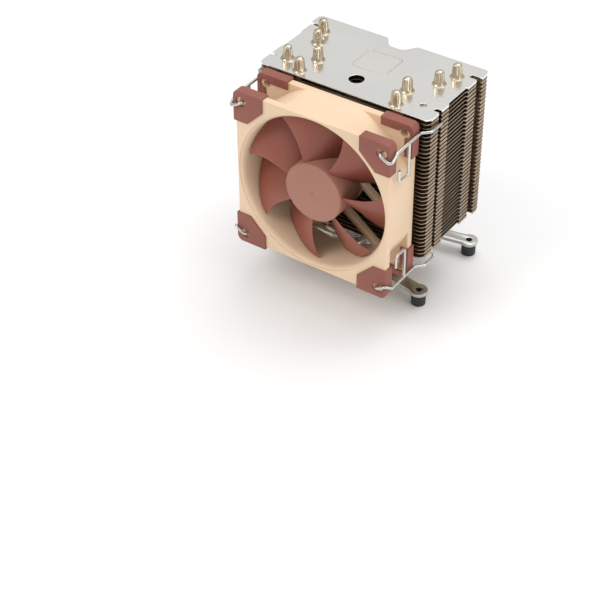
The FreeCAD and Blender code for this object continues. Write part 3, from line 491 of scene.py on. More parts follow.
# %% A recipe for a node tree
class Recipe:
    def __init__(self, name, **inputs):
        self.tree = bpy.data.node_groups.new(name, "GeometryNodeTree")
        self.keys = {}
        for key, kind in inputs.items():
            self.keys[key] = self.socket(key, "INPUT", kind).identifier
        self.socket("Geometry", "OUTPUT", "Geometry")
        self.given = self.tree.nodes.new("NodeGroupInput")

    def socket(self, name, side, kind):
        return self.tree.interface.new_socket(name=name, in_out=side, socket_type="NodeSocket" + kind)

    def input(self, key):
        return self.given.outputs[key]

    def plug(self, socket, value):
        if isinstance(value, bpy.types.NodeSocket):
            self.tree.links.new(value, socket)
        else:
            socket.default_value = value

    def node(self, kind, settings=None, *values, out=0, **named):
        made = self.tree.nodes.new(kind)
        for key, value in (settings or {}).items():
            setattr(made, key, value)
        for index, value in enumerate(values):
            self.plug(made.inputs[index], value)
        for key, value in named.items():
            name = key.replace("_", " ")
            self.plug(next(s for s in made.inputs if s.enabled and s.name == name), value)
        return next(s for s in made.outputs if s.enabled) if out == 0 else made.outputs[out]

    def end(self, geometry, material):
        plain = self.node("GeometryNodeRealizeInstances", Geometry=geometry)
        dressed = self.node("GeometryNodeSetMaterial", Geometry=plain, Material=material)
        result = self.tree.nodes.new("NodeGroupOutput")
        self.tree.links.new(dressed, result.inputs[0])

    def cook(self, name, **values):
        holder = bpy.data.objects.new(name, bpy.data.meshes.new(name))
        bpy.context.scene.collection.objects.link(holder)
        modifier = holder.modifiers.new(name, "NODES")
        modifier.node_group = self.tree
        for key, value in values.items():
            modifier[self.keys[key]] = value
        mesh = plain_mesh(holder)
        holder.modifiers.clear()
        bpy.data.objects.remove(holder)
        return mesh


def hidden_piece(mesh, name):
    """An object that only serves as the pattern of instances. It is removed after use."""
    pattern = bpy.data.objects.new(name, mesh)
    bpy.context.scene.collection.objects.link(pattern)
    return pattern


print("recipes ready")

# %% [markdown]
# ## The fin outline
# All the fins share one outline. Both sides carry the same features, front to rear: a notch that
# takes the fan clip, a raised strip, a shallow waist, a second strip, a groove, and a wing that
# stands out a little. The rear edge has a cut-out that lets a screwdriver past. Ten holes let the
# pipe legs through and a larger one lets the driver down to the front screw.

# %% Fin outline and holes
fin_low, fin_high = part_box("cooling_fins")
WING_OVERHANG = 1.2 * MM
PLAIN_HALF = fin_high.x - WING_OVERHANG
NOTCH_Y = (-26.4 * MM, -24.0 * MM)
NOTCH_DEPTH = 3.2 * MM
WAIST_Y = (-16.8 * MM, 1.8 * MM)
WAIST_DEPTH = 0.8 * MM
GROOVE_Y = (10.9 * MM, 13.5 * MM)
GROOVE_DEPTH = 4.6 * MM
CORNER_R = 3.0 * MM
CUT_HALF = (8.5 * MM, 4.25 * MM)    # half widths of the rear cut-out, at its mouth and its floor
CUT_DEPTH = 7.0 * MM
DRIVER_HOLE_R = 4.1 * MM
LEG_HOLE_R = 3.1 * MM
SHORT_END_R = 1.8 * MM
COLLAR_HEIGHT = 0.9 * MM
PLATE_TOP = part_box("top_fin")[1].z - COLLAR_HEIGHT
PLATE_THICKNESS = 0.6 * MM


def fin_outline():
    front, rear, wing = fin_low.y, fin_high.y, fin_high.x
    side = [
        (PLAIN_HALF, front, CORNER_R),
        (PLAIN_HALF, NOTCH_Y[0], 0.4 * MM),
        (PLAIN_HALF - NOTCH_DEPTH, NOTCH_Y[0], 0.5 * MM),
        (PLAIN_HALF - NOTCH_DEPTH, NOTCH_Y[1], 0.5 * MM),
        (PLAIN_HALF, NOTCH_Y[1], 0.4 * MM),
        (PLAIN_HALF, WAIST_Y[0], 0.3 * MM),
        (PLAIN_HALF - WAIST_DEPTH, WAIST_Y[0] + WAIST_DEPTH, 0.3 * MM),
        (PLAIN_HALF - WAIST_DEPTH, WAIST_Y[1] - WAIST_DEPTH, 0.3 * MM),
        (PLAIN_HALF, WAIST_Y[1], 0.3 * MM),
        (PLAIN_HALF, GROOVE_Y[0], 0.5 * MM),
        (PLAIN_HALF - GROOVE_DEPTH, GROOVE_Y[0], 0.5 * MM),
        (PLAIN_HALF - GROOVE_DEPTH, GROOVE_Y[1], 0.5 * MM),
        (wing, GROOVE_Y[1], 0.8 * MM),
        (wing, rear, CORNER_R),
        (CUT_HALF[0] + 0.6 * MM, rear, 2.6 * MM),
        (CUT_HALF[1], rear - CUT_DEPTH, 4.4 * MM),
    ]
    return rounded_loop(side + [(-x, y, r) for x, y, r in reversed(side)])


# half spacing and depth of each pipe's two upright legs, front pipe to rear pipe
LEGS = [(29.0 * MM, -31.5 * MM), (27.0 * MM, -17.5 * MM), (41.0 * MM, -25.0 * MM), (37.0 * MM, -3.0 * MM),
        (41.0 * MM, 8.0 * MM)]
SHORT_END = (41.0 * MM, -25.0 * MM)
full_ends = [(side * x, y) for x, y in LEGS for side in (-1, 1) if (side * x, y) != SHORT_END]
DRIVER_AT = (0.0, (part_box("captive_screw_front")[0].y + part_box("captive_screw_front")[1].y) / 2)
print("plate top %.1f mm, %d full pipe ends" % (PLATE_TOP / MM, len(full_ends)))

# %% [markdown]
# ## The fins
# On the real cooler each fin is a thin nickel-plated sheet whose side edges are folded down into a
# small lip, so they look more than twice as thick as the sheet. The front edge stays plain, to let
# the air in. Small tabs at the front and rear are folded down onto the fin below and set the pitch.

# %% One fin
FLAT_BELOW = math.radians(10)   # a sheet stays flat right up to its eased edge
FIN_COUNT = 35
FIN_SHEET = 0.45 * MM
LIP = 1.05 * MM
LIP_SHEET = 0.35 * MM
TAB_WIDTH = 7.0 * MM
TAB_X = 33.0 * MM
TAB_TOP = 0.3 * MM              # a tab's bend starts this far up the sheet's edge
TAB_FOOT_GAP = 0.05 * MM        # and its foot ends this far above the next sheet
HOLE_SIDES = 14
FIN_EDGE = 0.1 * MM             # easing of a stamped edge
fin_pitch = (PLATE_TOP - PLATE_THICKNESS - fin_low.z) / FIN_COUNT


def slab(x, y, z):
    """A box mesh between two corners, given as (low, high) along each axis."""
    box = bmesh.new()
    bmesh.ops.create_cube(box, size=1.0)
    for vertex in box.verts:
        for axis, (low, high) in enumerate((x, y, z)):
            vertex.co[axis] = low if vertex.co[axis] < 0 else high
    mesh = bpy.data.meshes.new("slab")
    box.to_mesh(mesh)
    box.free()
    return mesh


def fin_holes(count, leg_radius):
    holes = [round_loop(0, DRIVER_AT[1], DRIVER_HOLE_R, 2 * count)]
    holes += [round_loop(side * x, y, leg_radius, count) for x, y in LEGS for side in (-1, 1)]
    return holes


def folded_lips(top, drop):
    """Lips under the side strips, the wings and the rear edge, from height top downwards."""
    z = (top - drop, top)
    front, rear, wing = fin_low.y, fin_high.y, fin_high.x
    strips = [
        (PLAIN_HALF, front + CORNER_R, NOTCH_Y[0] - 0.3 * MM),
        (PLAIN_HALF, NOTCH_Y[1] + 0.3 * MM, WAIST_Y[0] - 0.3 * MM),
        (PLAIN_HALF, WAIST_Y[1] + 0.3 * MM, GROOVE_Y[0] - 0.4 * MM),
        (wing, GROOVE_Y[1] + 0.8 * MM, rear - CORNER_R),
    ]
    lips = []
    for edge, y0, y1 in strips:
        lips.append(slab((edge - LIP_SHEET, edge), (y0, y1), z))
        lips.append(slab((-edge, LIP_SHEET - edge), (y0, y1), z))
    for side in (-1, 1):
        middle = side * (CUT_HALF[0] + wing) / 2
        reach = (wing - CUT_HALF[0]) / 2 - CORNER_R - 1.0 * MM
        lips.append(slab((middle - reach, middle + reach), (rear - LIP_SHEET, rear), z))
    return lips


def spacing_tabs(sheet_bottom):
    """Folded tabs on the front and rear edges of the fin whose underside is at sheet_bottom."""
    top = sheet_bottom + TAB_TOP
    drop = fin_pitch - FIN_SHEET + TAB_TOP - TAB_FOOT_GAP
    tabs = []
    for side in (-1, 1):
        for y in (fin_low.y, fin_high.y - FIN_SHEET):
            x = (side * TAB_X - TAB_WIDTH / 2, side * TAB_X + TAB_WIDTH / 2)
            tabs.append(slab(x, (y, y + FIN_SHEET), (top - drop, top)))
    return tabs


holes = fin_holes(HOLE_SIDES, LEG_HOLE_R)
fin_shape = [sheet_mesh("fin_sheet", fin_outline(), holes, 0.0, FIN_SHEET, FIN_EDGE)]
fin_shape += folded_lips(FIN_EDGE, LIP) + spacing_tabs(0.0)
pattern = hidden_piece(joined("fin_pattern", fin_shape), "fin_pattern")
print("one fin: %d faces" % len(pattern.data.polygons))

# %% [markdown]
# Geometry Nodes repeat the fin up a line of points. A stack that was copied by hand would be as
# heavy, but its fin count and pitch could not be changed in one place. Each copy also carries a
# random number for its plating's tone.

# %% The stack
TONE_SEED = 7

stack = Recipe("fin_stack", Fin="Object", Count="Int", Pitch="Float", Bottom="Float", Plating="Material")
rise = stack.node("ShaderNodeCombineXYZ", Z=stack.input("Pitch"))
foot = stack.node("ShaderNodeCombineXYZ", Z=stack.input("Bottom"))
points = stack.node("GeometryNodeMeshLine", Count=stack.input("Count"), Start_Location=foot, Offset=rise)
fin_geometry = stack.node("GeometryNodeObjectInfo", Object=stack.input("Fin"), out=4)
copies = stack.node("GeometryNodeInstanceOnPoints", Points=points, Instance=fin_geometry)
tone = stack.node("FunctionNodeRandomValue", {"data_type": "FLOAT"}, Min=0.0, Max=1.0,
                  Seed=TONE_SEED, out=1)
toned = stack.node("GeometryNodeStoreNamedAttribute", {"data_type": "FLOAT", "domain": "INSTANCE"},
                   Geometry=copies, Name=FIN_TONE, Value=tone)
stack.end(toned, stack.input("Plating"))
fins = show(stack.cook("fins", Fin=pattern, Count=FIN_COUNT, Pitch=fin_pitch, Bottom=fin_low.z,
                       Plating=fin_shaded_finish.material), "fins", FLAT_BELOW)
bpy.data.objects.remove(pattern)
paint(fins, fin_shaded_finish, stands_for=["cooling_fins"])
print("fins: %d faces, pitch %.2f mm" % (len(fins.data.polygons), fin_pitch / MM))

# %% [markdown]
# ## The top fin
# The topmost fin is the cooler's face. It is a smooth silver sheet with a drawn collar round every
# full pipe end, a small hole over the short end, and a thin embossed frame that marks the middle.
# The sheet is cut flat and lipped like the others, and the frame is a low ridge laid on it, which
# keeps its edges crisp under a raking light. The collars come later, with the pipe ends.

# %% Top fin
COLLAR_NECK = 3.15 * MM
TOP_EDGE = 0.12 * MM
FRAME_HALF = (10.2 * MM, 9.2 * MM)
FRAME_CORNER = 1.2 * MM
FRAME_AT = (0.0, -3.0 * MM)
FRAME_RIDGE = 0.24 * MM
FRAME_RISE = 0.1 * MM


def embossed_frame():
    """A low ridge round a plain rectangle."""
    half_x, half_y = FRAME_HALF
    loop = rounded_loop([(sx * half_x, sy * half_y, FRAME_CORNER) for sx, sy in SQUARE])
    rings = []
    for share, height in ((1, -0.05), (1, 0.3), (0.45, 1), (-0.45, 1), (-1, 0.3), (-1, -0.05)):
        ring = []
        for x, y in loop:
            spot = Vector((x, y)) + Vector((x, y)).normalized() * share * FRAME_RIDGE
            ring.append((spot.x + FRAME_AT[0], spot.y + FRAME_AT[1], PLATE_TOP + height * FRAME_RISE))
        rings.append(ring)
    return ring_mesh("embossed_frame", rings, loop=True)


top_holes = [round_loop(0, DRIVER_AT[1], DRIVER_HOLE_R, 48), round_loop(*SHORT_END, SHORT_END_R, 24)]
top_holes += [round_loop(x, y, COLLAR_NECK, 28) for x, y in full_ends]
plate_bottom = PLATE_TOP - PLATE_THICKNESS
top_shape = [sheet_mesh("top_sheet", fin_outline(), top_holes, plate_bottom, PLATE_TOP, TOP_EDGE)]
top_shape += folded_lips(plate_bottom + FIN_EDGE, LIP) + spacing_tabs(plate_bottom)
top_plate = show(joined("top_plate", top_shape), "top_plate", FLAT_BELOW)
paint(top_plate, top_finish, stands_for=["top_fin"])
paint(show(embossed_frame(), "top_plate_frame"), tip_finish, stands_for=["top_fin"])
print("top plate: %d faces" % len(top_plate.data.polygons))

# %% [markdown]
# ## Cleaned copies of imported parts
# Many small parts already have the right shape, but their meshes are loose triangles with razor
# edges, and no real edge is that sharp. A copy is welded, its flat faces are merged, and a narrow
# bevel catches the light along every edge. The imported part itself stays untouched.


# %% A refined copy
def refined(node, finish, ease=0.15 * MM, body="root", carve=None, segments=2):
    mesh = bpy.data.objects[node].data.copy()
    weld = bmesh.new()
    weld.from_mesh(mesh)
    bmesh.ops.remove_doubles(weld, verts=weld.verts, dist=2e-6)
    if ease:
        bmesh.ops.dissolve_limit(weld, angle_limit=math.radians(0.6), verts=weld.verts, edges=weld.edges)
    if carve:
        carve(weld)
    weld.to_mesh(mesh)
    weld.free()
    mesh.materials.clear()
    piece = show(mesh, node + "_body", smooth_below=math.radians(30))
    if ease:
        bevel = piece.modifiers.new("eased edges", "BEVEL")
        bevel.width = ease
        bevel.segments = segments
        bevel.limit_method = "ANGLE"
        bevel.angle_limit = math.radians(35)
        eased = plain_mesh(piece)
        piece.modifiers.clear()
        piece.data = eased
        eased.shade_smooth()
        eased.set_sharp_from_angle(angle=math.radians(30))
    return paint(piece, finish, body, [node])


# %% [markdown]
# ## Base, bars and screws
# The copper base is fly-cut and nickel-plated; the bridge, the curved mounting bars and the screws
# are all plated steel. Each gets a refined copy, with an edge bevel that fits how it is made:
# wider on the machined base, hairline on the stamped rings.

# %% Base and fastening parts
refined("cold_plate", base_finish, 0.25 * MM)
refined("base_cap", base_finish, 0.3 * MM)
refined("fastening_bridge", bar_finish, 0.3 * MM)
refined("bridge_screws", screw_finish, 0.15 * MM)
refined("board_spacers", spacer_finish, 0.2 * MM)
for place in ("front", "rear"):
    refined("mounting_bar_" + place, bar_finish, 0.25 * MM)
    refined("bar_bush_" + place, bush_finish, 0.15 * MM)
    refined("retaining_ring_" + place, spring_finish, 0.06 * MM, "ring_" + place)
    refined("captive_screw_" + place, screw_finish, 0.18 * MM, "screw_" + place)
print("base and fastening parts refined")

# %% [markdown]
# ## Screw springs
# Each captive screw is pushed up by a coil spring between the bridge and the screw's head. The
# coil is a helix, so Geometry Nodes make it: a spiral curve, swept with a small circle. On the
# cooler the spring shortens as the screw is driven.

# %% Springs
SPRING_TURNS = 6.0
SPRING_WIRE = 0.45 * MM

coil = Recipe("spring_coil", Radius="Float", Height="Float", Turns="Float", Wire="Float", Centre="Vector",
              Steel="Material")
wide = coil.input("Radius")
helix = coil.node("GeometryNodeCurveSpiral", Resolution=28, Rotations=coil.input("Turns"),
                  Start_Radius=wide, End_Radius=wide, Height=coil.input("Height"))
section = coil.node("GeometryNodeCurvePrimitiveCircle", {"mode": "RADIUS"}, Resolution=10,
                    Radius=coil.input("Wire"))
swept = coil.node("GeometryNodeCurveToMesh", Curve=helix, Profile_Curve=section, Fill_Caps=True)
placed = coil.node("GeometryNodeTransform", Geometry=swept, Translation=coil.input("Centre"))
coil.end(placed, coil.input("Steel"))

for place in ("front", "rear"):
    low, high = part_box("screw_spring_" + place)
    height = high.z - low.z - 2 * SPRING_WIRE
    radius = (high.x - low.x) / 2 - SPRING_WIRE
    centre = ((low.x + high.x) / 2, (low.y + high.y) / 2, low.z + SPRING_WIRE)
    mesh = coil.cook("spring_" + place, Radius=radius, Height=height, Turns=SPRING_TURNS, Wire=SPRING_WIRE,
                     Centre=centre, Steel=spring_finish.material)
    spring = show(mesh, "spring_" + place)
    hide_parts("screw_spring_" + place)
    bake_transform(spring)
print("springs: %.1f mm tall" % (height / MM))

# %% [markdown]
# ## Heat pipes and their crimped ends
# Five plated pipes run through the base and turn up through the fins. Each pipe is a refined copy
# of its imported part, cut off just above the plate, because its end needs a finer shape.

# %% Pipes
PIPE_COUNT = 5
PIPE_STANDS = 0.3 * MM          # how far a cut pipe stands above the plate, inside its crimped end


def cut_above(height):
    def carve(weld):
        pieces = weld.verts[:] + weld.edges[:] + weld.faces[:]
        bmesh.ops.bisect_plane(weld, geom=pieces, plane_co=(0, 0, height), plane_no=(0, 0, 1),
                               clear_outer=True)
        rims = [edge for edge in weld.edges if edge.is_boundary]
        bmesh.ops.holes_fill(weld, edges=rims, sides=0)
    return carve


for number in range(PIPE_COUNT):
    node = "heat_pipe_%d" % (number + 1)
    refined(node, pipe_finish, 0, carve=cut_above(PLATE_TOP + PIPE_STANDS))
print("pipes:", PIPE_COUNT)

# %% [markdown]
# The factory closes each pipe end by pinching it in a fluted die, which leaves a blunt cone with
# soft ridges. The cone is one mesh whose radius ripples with the angle. A thin collar of the
# plate's metal stands round its foot, turned from a short profile.

# %% A crimped end and its collar
FLUTES = 8
FLUTE_DEPTH = 0.14
TIP_AROUND = 72
COLLAR_SKIRT = 3.95 * MM
# height above the plate and radius, both in millimetres, and how deep the flutes are there
TIP_STATIONS = [
    (-0.6, 2.98, 0), (0.7, 2.98, 0), (1.3, 2.93, 0.4), (2.3, 2.82, 1), (4.0, 2.72, 1), (5.4, 2.6, 1),
    (6.3, 2.46, 0.85), (6.9, 2.22, 0.6), (7.3, 1.82, 0.35), (7.56, 1.26, 0.15), (7.7, 0.65, 0),
    (7.74, 0.2, 0),
]


def fluted_tip():
    """The crimped end, from just under the collar's rim to its blunt crown."""
    rings = []
    for height, radius, fluted in TIP_STATIONS:
        ring = []
        for j in range(TIP_AROUND):
            a = 2 * math.pi * j / TIP_AROUND
            rippled = radius * MM * (1 - FLUTE_DEPTH * fluted * (1 - math.cos(a * FLUTES)) / 2)
            ring.append((rippled * math.cos(a), rippled * math.sin(a), height * MM))
        rings.append(ring)
    return ring_mesh("fluted_tip", rings)


def collar():
    """The thin rim of sheet metal that is drawn up round a pipe, from the plate's face upwards."""
    sunk, rim = -0.05 * MM, COLLAR_HEIGHT - 0.04 * MM
    profile = [
        (COLLAR_SKIRT, sunk), (COLLAR_SKIRT - 0.2 * MM, 0.1 * MM), (COLLAR_SKIRT - 0.45 * MM, 0.3 * MM),
        (COLLAR_NECK + 0.18 * MM, 0.62 * MM), (COLLAR_NECK + 0.02 * MM, rim),
        (COLLAR_NECK - 0.12 * MM, rim), (COLLAR_NECK - 0.14 * MM, sunk),
    ]
    return turned_mesh("collar", profile, (0, 0, 0), count=36, closed=True)


print("flutes:", FLUTES)

# %% [markdown]
# The full ends all look alike, so Geometry Nodes set the cone on a point at each, with a random
# turn, and then the same recipe sets the collars.

# %% All the pipe ends
TURN_SEED = 11

tips = Recipe("pipe_ends", Shape="Object", Ends="Object", Plating="Material")
spots = tips.node("GeometryNodeObjectInfo", Object=tips.input("Ends"), out=4)
shape = tips.node("GeometryNodeObjectInfo", Object=tips.input("Shape"), out=4)
turn = tips.node("FunctionNodeRandomValue", {"data_type": "FLOAT"}, Min=0.0, Max=6.28,
                 Seed=TURN_SEED, out=1)
turned = tips.node("ShaderNodeCombineXYZ", Z=turn)
set_tips = tips.node("GeometryNodeInstanceOnPoints", Points=spots, Instance=shape, Rotation=turned)
tips.end(set_tips, tips.input("Plating"))

ends_mesh = bpy.data.meshes.new("pipe_end_points")
ends_mesh.from_pydata([(x, y, PLATE_TOP) for x, y in full_ends], [], [])
ends = hidden_piece(ends_mesh, "pipe_end_points")
END_PIECES = (("pipe_tips", fluted_tip(), []), ("pipe_collars", collar(), ["top_fin"]))
for name, shape_mesh, stands_for in END_PIECES:
    shape_once = hidden_piece(shape_mesh, name + "_shape")
    ring_of_ends = tips.cook(name, Shape=shape_once, Ends=ends, Plating=tip_finish.material)
    bpy.data.objects.remove(shape_once)
    placed_ends = show(ring_of_ends, name, math.radians(50))
    paint(placed_ends, tip_finish, stands_for=stands_for)
    print("%s: %d faces" % (name, len(placed_ends.data.polygons)))
bpy.data.objects.remove(ends)

# %% [markdown]
# ## The fan frame
# The frame is one beige moulding. Seen along the duct it is a round bore in a square, so it is
# built the way a potter would: one profile is carried round the axis, and at each angle the
# profile's outer points lie on the square while its inner ones lie on the bore. Between the
# flanges the corners are open, which the profile shows as a step in to the pocket's radius. Where
# the square is narrower than the pocket the step closes, and the side is flush.

# %% Frame sizes and rings
duct_low, duct_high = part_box("fan_frame")
flange_low, flange_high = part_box("fan_flanges")
FAN_HALF = (flange_high.x - flange_low.x) / 2
FAN_FRONT = duct_low.y
FAN_DEPTH = duct_high.y - duct_low.y
FAN_AXIS_Z = (flange_high.z + flange_low.z) / 2
FLANGE = 4.0 * MM
POCKET_R = 49.0 * MM
DUCT_R = 43.2 * MM
LIP_FLARE = 1.4 * MM
FAN_CORNER_R = 3.0 * MM
HOLE_AT = 41.25 * MM
HOLE_R = 2.15 * MM
print("fan: %.0f mm square, %.0f mm deep" % (2 * FAN_HALF / MM, FAN_DEPTH / MM))

# %% [markdown]
# The profile needs two things at every angle: how far the rounded square reaches, and the section
# to draw.


# %% Frame shell
def square_reach(angle):
    """Distance from the axis to the rounded square, along an angle."""
    c, s = abs(math.cos(angle)), abs(math.sin(angle))
    reach = FAN_HALF / max(c, s)
    inner = FAN_HALF - FAN_CORNER_R
    if min(c, s) * reach > inner:
        along = inner * (c + s)
        reach = along + math.sqrt(along ** 2 - 2 * inner ** 2 + FAN_CORNER_R ** 2)
    return reach


def frame_angles():
    """Angles round the frame: even steps, closer together round the four corners."""
    close = math.acos(FAN_HALF / POCKET_R)
    eighth = [math.radians(a) for a in (0, 2.5, 5, 7.5, 10, 12.5, 15, 17.5)]
    eighth += [close, math.radians(22.5), math.radians(25), math.radians(27.5), math.radians(30)]
    eighth += [math.radians(a) for a in (32.5, 35, 37.5, 40, 42, 43.07, 43.7, 44.35, 45)]
    quarter = eighth + [math.pi / 2 - a for a in reversed(eighth[:-1])]
    return [turn * math.pi / 2 + a for turn in range(4) for a in quarter[:-1]]


def frame_profile(angle):
    """The frame's section at one angle, as (radius, depth behind the front face)."""
    edge, chamfer = 0.35 * MM, 0.1 * MM
    reach = square_reach(angle)
    pocket = min(reach, POCKET_R)
    step = min(0.3 * MM, (reach - pocket) / 2)
    rear = FAN_DEPTH
    lip = DUCT_R + LIP_FLARE
    return [
        (lip + 0.62 * MM, 0), (lip + 0.5 * MM, 0.1 * MM), (lip + 0.46 * MM, 0.55 * MM),
        (lip + 0.05 * MM, 0.62 * MM), (lip - 0.25 * MM, 0.8 * MM), (lip - 0.75 * MM, 1.4 * MM),
        (DUCT_R + 0.22 * MM, 2.4 * MM), (DUCT_R, 3.4 * MM), (DUCT_R, rear - edge), (DUCT_R + edge, rear),
        (reach - edge, rear), (reach - chamfer, rear - chamfer), (reach, rear - edge),
        (reach, rear - FLANGE + step), (reach - step, rear - FLANGE), (pocket, rear - FLANGE),
        (pocket, FLANGE), (reach - step, FLANGE), (reach, FLANGE - step),
        (reach, edge), (reach - chamfer, chamfer), (reach - edge, 0),
    ]


def fan_point(radius, depth, angle):
    return (radius * math.cos(angle), FAN_FRONT + depth, FAN_AXIS_Z + radius * math.sin(angle))


def frame_shell():
    rings = []
    for angle in frame_angles():
        rings.append([fan_point(radius, depth, angle) for radius, depth in frame_profile(angle)])
    return ring_mesh("frame_shell", rings, loop=True)


print("frame shell: %d angles" % len(frame_angles()))

# %% [markdown]
# The motor sits on a disc in the middle of the rear, held by four arms in two parallel pairs. The
# arms have rounded backs, so each is a small superellipse section swept from disc to duct.

# %% Motor mount
MOUNT_R = 16.6 * MM
MOUNT_DEPTH = 3.2 * MM
STRUT_ANGLE = math.radians(-37.5)
STRUT_OFFSET = 11.0 * MM
STRUT_HALF = (1.8 * MM, 2.25 * MM)


def strut(offset, side):
    """An arm from the disc to the duct wall, at one side of the disc."""
    rings = []
    inner = math.sqrt(MOUNT_R ** 2 - offset ** 2) - 1.5 * MM
    outer = math.sqrt((DUCT_R + 0.8 * MM) ** 2 - offset ** 2)
    depth = FAN_DEPTH - STRUT_HALF[1]
    for share in (0, 0.06, 0.2, 0.5, 0.8, 0.94, 1):
        along = side * (inner + (outer - inner) * share)
        swell = 1 + 0.35 * (2 * abs(share - 0.5)) ** 8
        ring = []
        for j in range(20):
            a = 2 * math.pi * j / 20
            c, s = math.cos(a), math.sin(a)
            wide = STRUT_HALF[0] * swell * math.copysign(abs(c) ** 0.5, c) + offset
            deep = depth + STRUT_HALF[1] * math.copysign(abs(s) ** 0.5, s)
            x = along * math.cos(STRUT_ANGLE) - wide * math.sin(STRUT_ANGLE)
            z = along * math.sin(STRUT_ANGLE) + wide * math.cos(STRUT_ANGLE)
            ring.append((x, FAN_FRONT + deep, FAN_AXIS_Z + z))
        rings.append(ring)
    return ring_mesh("strut", rings)


def mount_disc():
    rear, front = FAN_DEPTH, FAN_DEPTH - MOUNT_DEPTH
    profile = [(4.0 * MM, front), (MOUNT_R - 0.4 * MM, front), (MOUNT_R, front + 0.4 * MM),
               (MOUNT_R, rear - 0.5 * MM), (MOUNT_R - 0.5 * MM, rear), (13.6 * MM, rear),
               (13.3 * MM, rear - 0.3 * MM), (4.0 * MM, rear - 0.3 * MM)]
    centre = (0, FAN_FRONT, FAN_AXIS_Z)
    return turned_mesh("mount_disc", profile, centre, axis="Y", count=72, closed=True)


def bearing_post():
    front, rear = 7.0 * MM, FAN_DEPTH - 0.35 * MM
    profile = [(3.0 * MM, front), (3.85 * MM, front), (4.0 * MM, front + 0.15 * MM), (4.0 * MM, rear),
               (0.3 * MM, rear), (0.3 * MM, rear - 2.0 * MM), (3.0 * MM, rear - 2.0 * MM)]
    centre = (0, FAN_FRONT, FAN_AXIS_Z)
    return turned_mesh("bearing_post", profile, centre, axis="Y", count=36, closed=True)


print("motor mount: disc of radius %.1f mm" % (MOUNT_R / MM))

# %% [markdown]
# Eight corner holes go through both flanges, and the cable leaves through a notch at the bottom of
# the rear one. Those are cut with a Boolean, because they cross the profile's own rings.

# %% Cut and joined frame
DRILL_PAST = 1.0 * MM           # cutters run this far past the faces that they cut
CABLE_NOTCH = (2.5 * MM, 1.6 * MM)      # half width and height


def carved(mesh, name, cutters):
    """The mesh with every cutter taken away."""
    piece = show(mesh, name)
    tools = hidden_piece(joined("cutters", cutters), "cutters")
    cut = piece.modifiers.new("cut", "BOOLEAN")
    cut.operation = "DIFFERENCE"
    cut.solver = "EXACT"
    cut.object = tools
    result = plain_mesh(piece)
    bpy.data.objects.remove(piece)
    bpy.data.objects.remove(tools)
    return result


def corner_drills():
    drills = []
    for sx in (-1, 1):
        for sz in (-1, 1):
            profile = [(HOLE_R, -DRILL_PAST), (HOLE_R, FAN_DEPTH + DRILL_PAST)]
            centre = (sx * HOLE_AT, FAN_FRONT, FAN_AXIS_Z + sz * HOLE_AT)
            drills.append(turned_mesh("drill", profile, centre, axis="Y", count=24))
    return drills


notch_bottom = FAN_AXIS_Z - FAN_HALF
cable_notch = slab((-CABLE_NOTCH[0], CABLE_NOTCH[0]),
                   (FAN_FRONT + FAN_DEPTH - FLANGE, FAN_FRONT + FAN_DEPTH + DRILL_PAST),
                   (notch_bottom - DRILL_PAST, notch_bottom + CABLE_NOTCH[1]))
shell = carved(frame_shell(), "frame_shell_cut", corner_drills() + [cable_notch])
struts = [strut(offset, side) for offset in (-STRUT_OFFSET, STRUT_OFFSET) for side in (-1, 1)]
housing = show(joined("fan_housing", [shell, mount_disc(), bearing_post()] + struts), "fan_housing")
paint(housing, frame_finish,
      stands_for=["fan_frame", "fan_flanges", "fan_motor_mount"])
print("fan housing: %d faces" % len(housing.data.polygons))

# %% [markdown]
# ## The impeller
# Seven broad blades sweep round a flat-faced hub. Each blade is a thin curved plate whose front
# edge stands near the front of the duct and which twists back as it turns. One blade is built as a
# grid of points over span and chord, with a rounded section.

# %% One blade
BLADES = 7
HUB_R = 17.0 * MM
HUB_FRONT = 1.6 * MM
HUB_BACK = 19.4 * MM
TIP_R = DUCT_R - 1.0 * MM
BLADE_HALF = 0.65 * MM
FIRST_BLADE = math.radians(10)
# each pair is a value at the root and at the tip
LEADING_DEPTH = (3.2 * MM, 4.6 * MM)
TRAILING_DEPTH = (18.8 * MM, 17.2 * MM)
CHORD_ANGLE = (math.radians(50), math.radians(40))
TIP_SWEEP = math.radians(6)
ROOT_SUNK = 0.8 * MM            # a blade starts this far inside the hub's wall
CHORD_STEPS = 22
SPAN_STEPS = 14


def between(pair, share):
    return pair[0] + (pair[1] - pair[0]) * share


def blade_point(share, along, face):
    """A point of the blade: share from root to tip, along from front edge to rear, face -1 or 1."""
    radius = HUB_R - ROOT_SUNK + (TIP_R - HUB_R + ROOT_SUNK) * share
    angle = TIP_SWEEP * (2 * share ** 2 - share) - between(CHORD_ANGLE, share) * along
    camber = 0.18 * math.sin(math.pi * along)
    depth = between(LEADING_DEPTH, share)
    depth += (between(TRAILING_DEPTH, share) - depth) * (along - camber * (1 - along))
    taper = math.sqrt(max(0.0, 1 - (2 * along - 1) ** 8))
    thick = BLADE_HALF * (0.4 + 0.6 * math.sin(math.pi * min(max(along, 0.08), 0.92))) * taper
    return (radius * math.cos(angle), depth + face * thick, radius * math.sin(angle))


def blade_mesh():
    chord = [(1 - math.cos(math.pi * i / CHORD_STEPS)) / 2 for i in range(CHORD_STEPS + 1)]
    rings = []
    for k in range(SPAN_STEPS + 1):
        share = k / SPAN_STEPS
        ring = [blade_point(share, along, -1) for along in chord]
        ring += [blade_point(share, along, 1) for along in reversed(chord[1:-1])]
        rings.append(ring)
    return ring_mesh("blade", rings)


print("blades: %d, reaching %.1f mm" % (BLADES, TIP_R / MM))

# %% [markdown]
# Geometry Nodes set seven blades round the axis. Each copy's number, divided by the count, is its
# share of a full turn, so the wheel can be given more blades by one input.

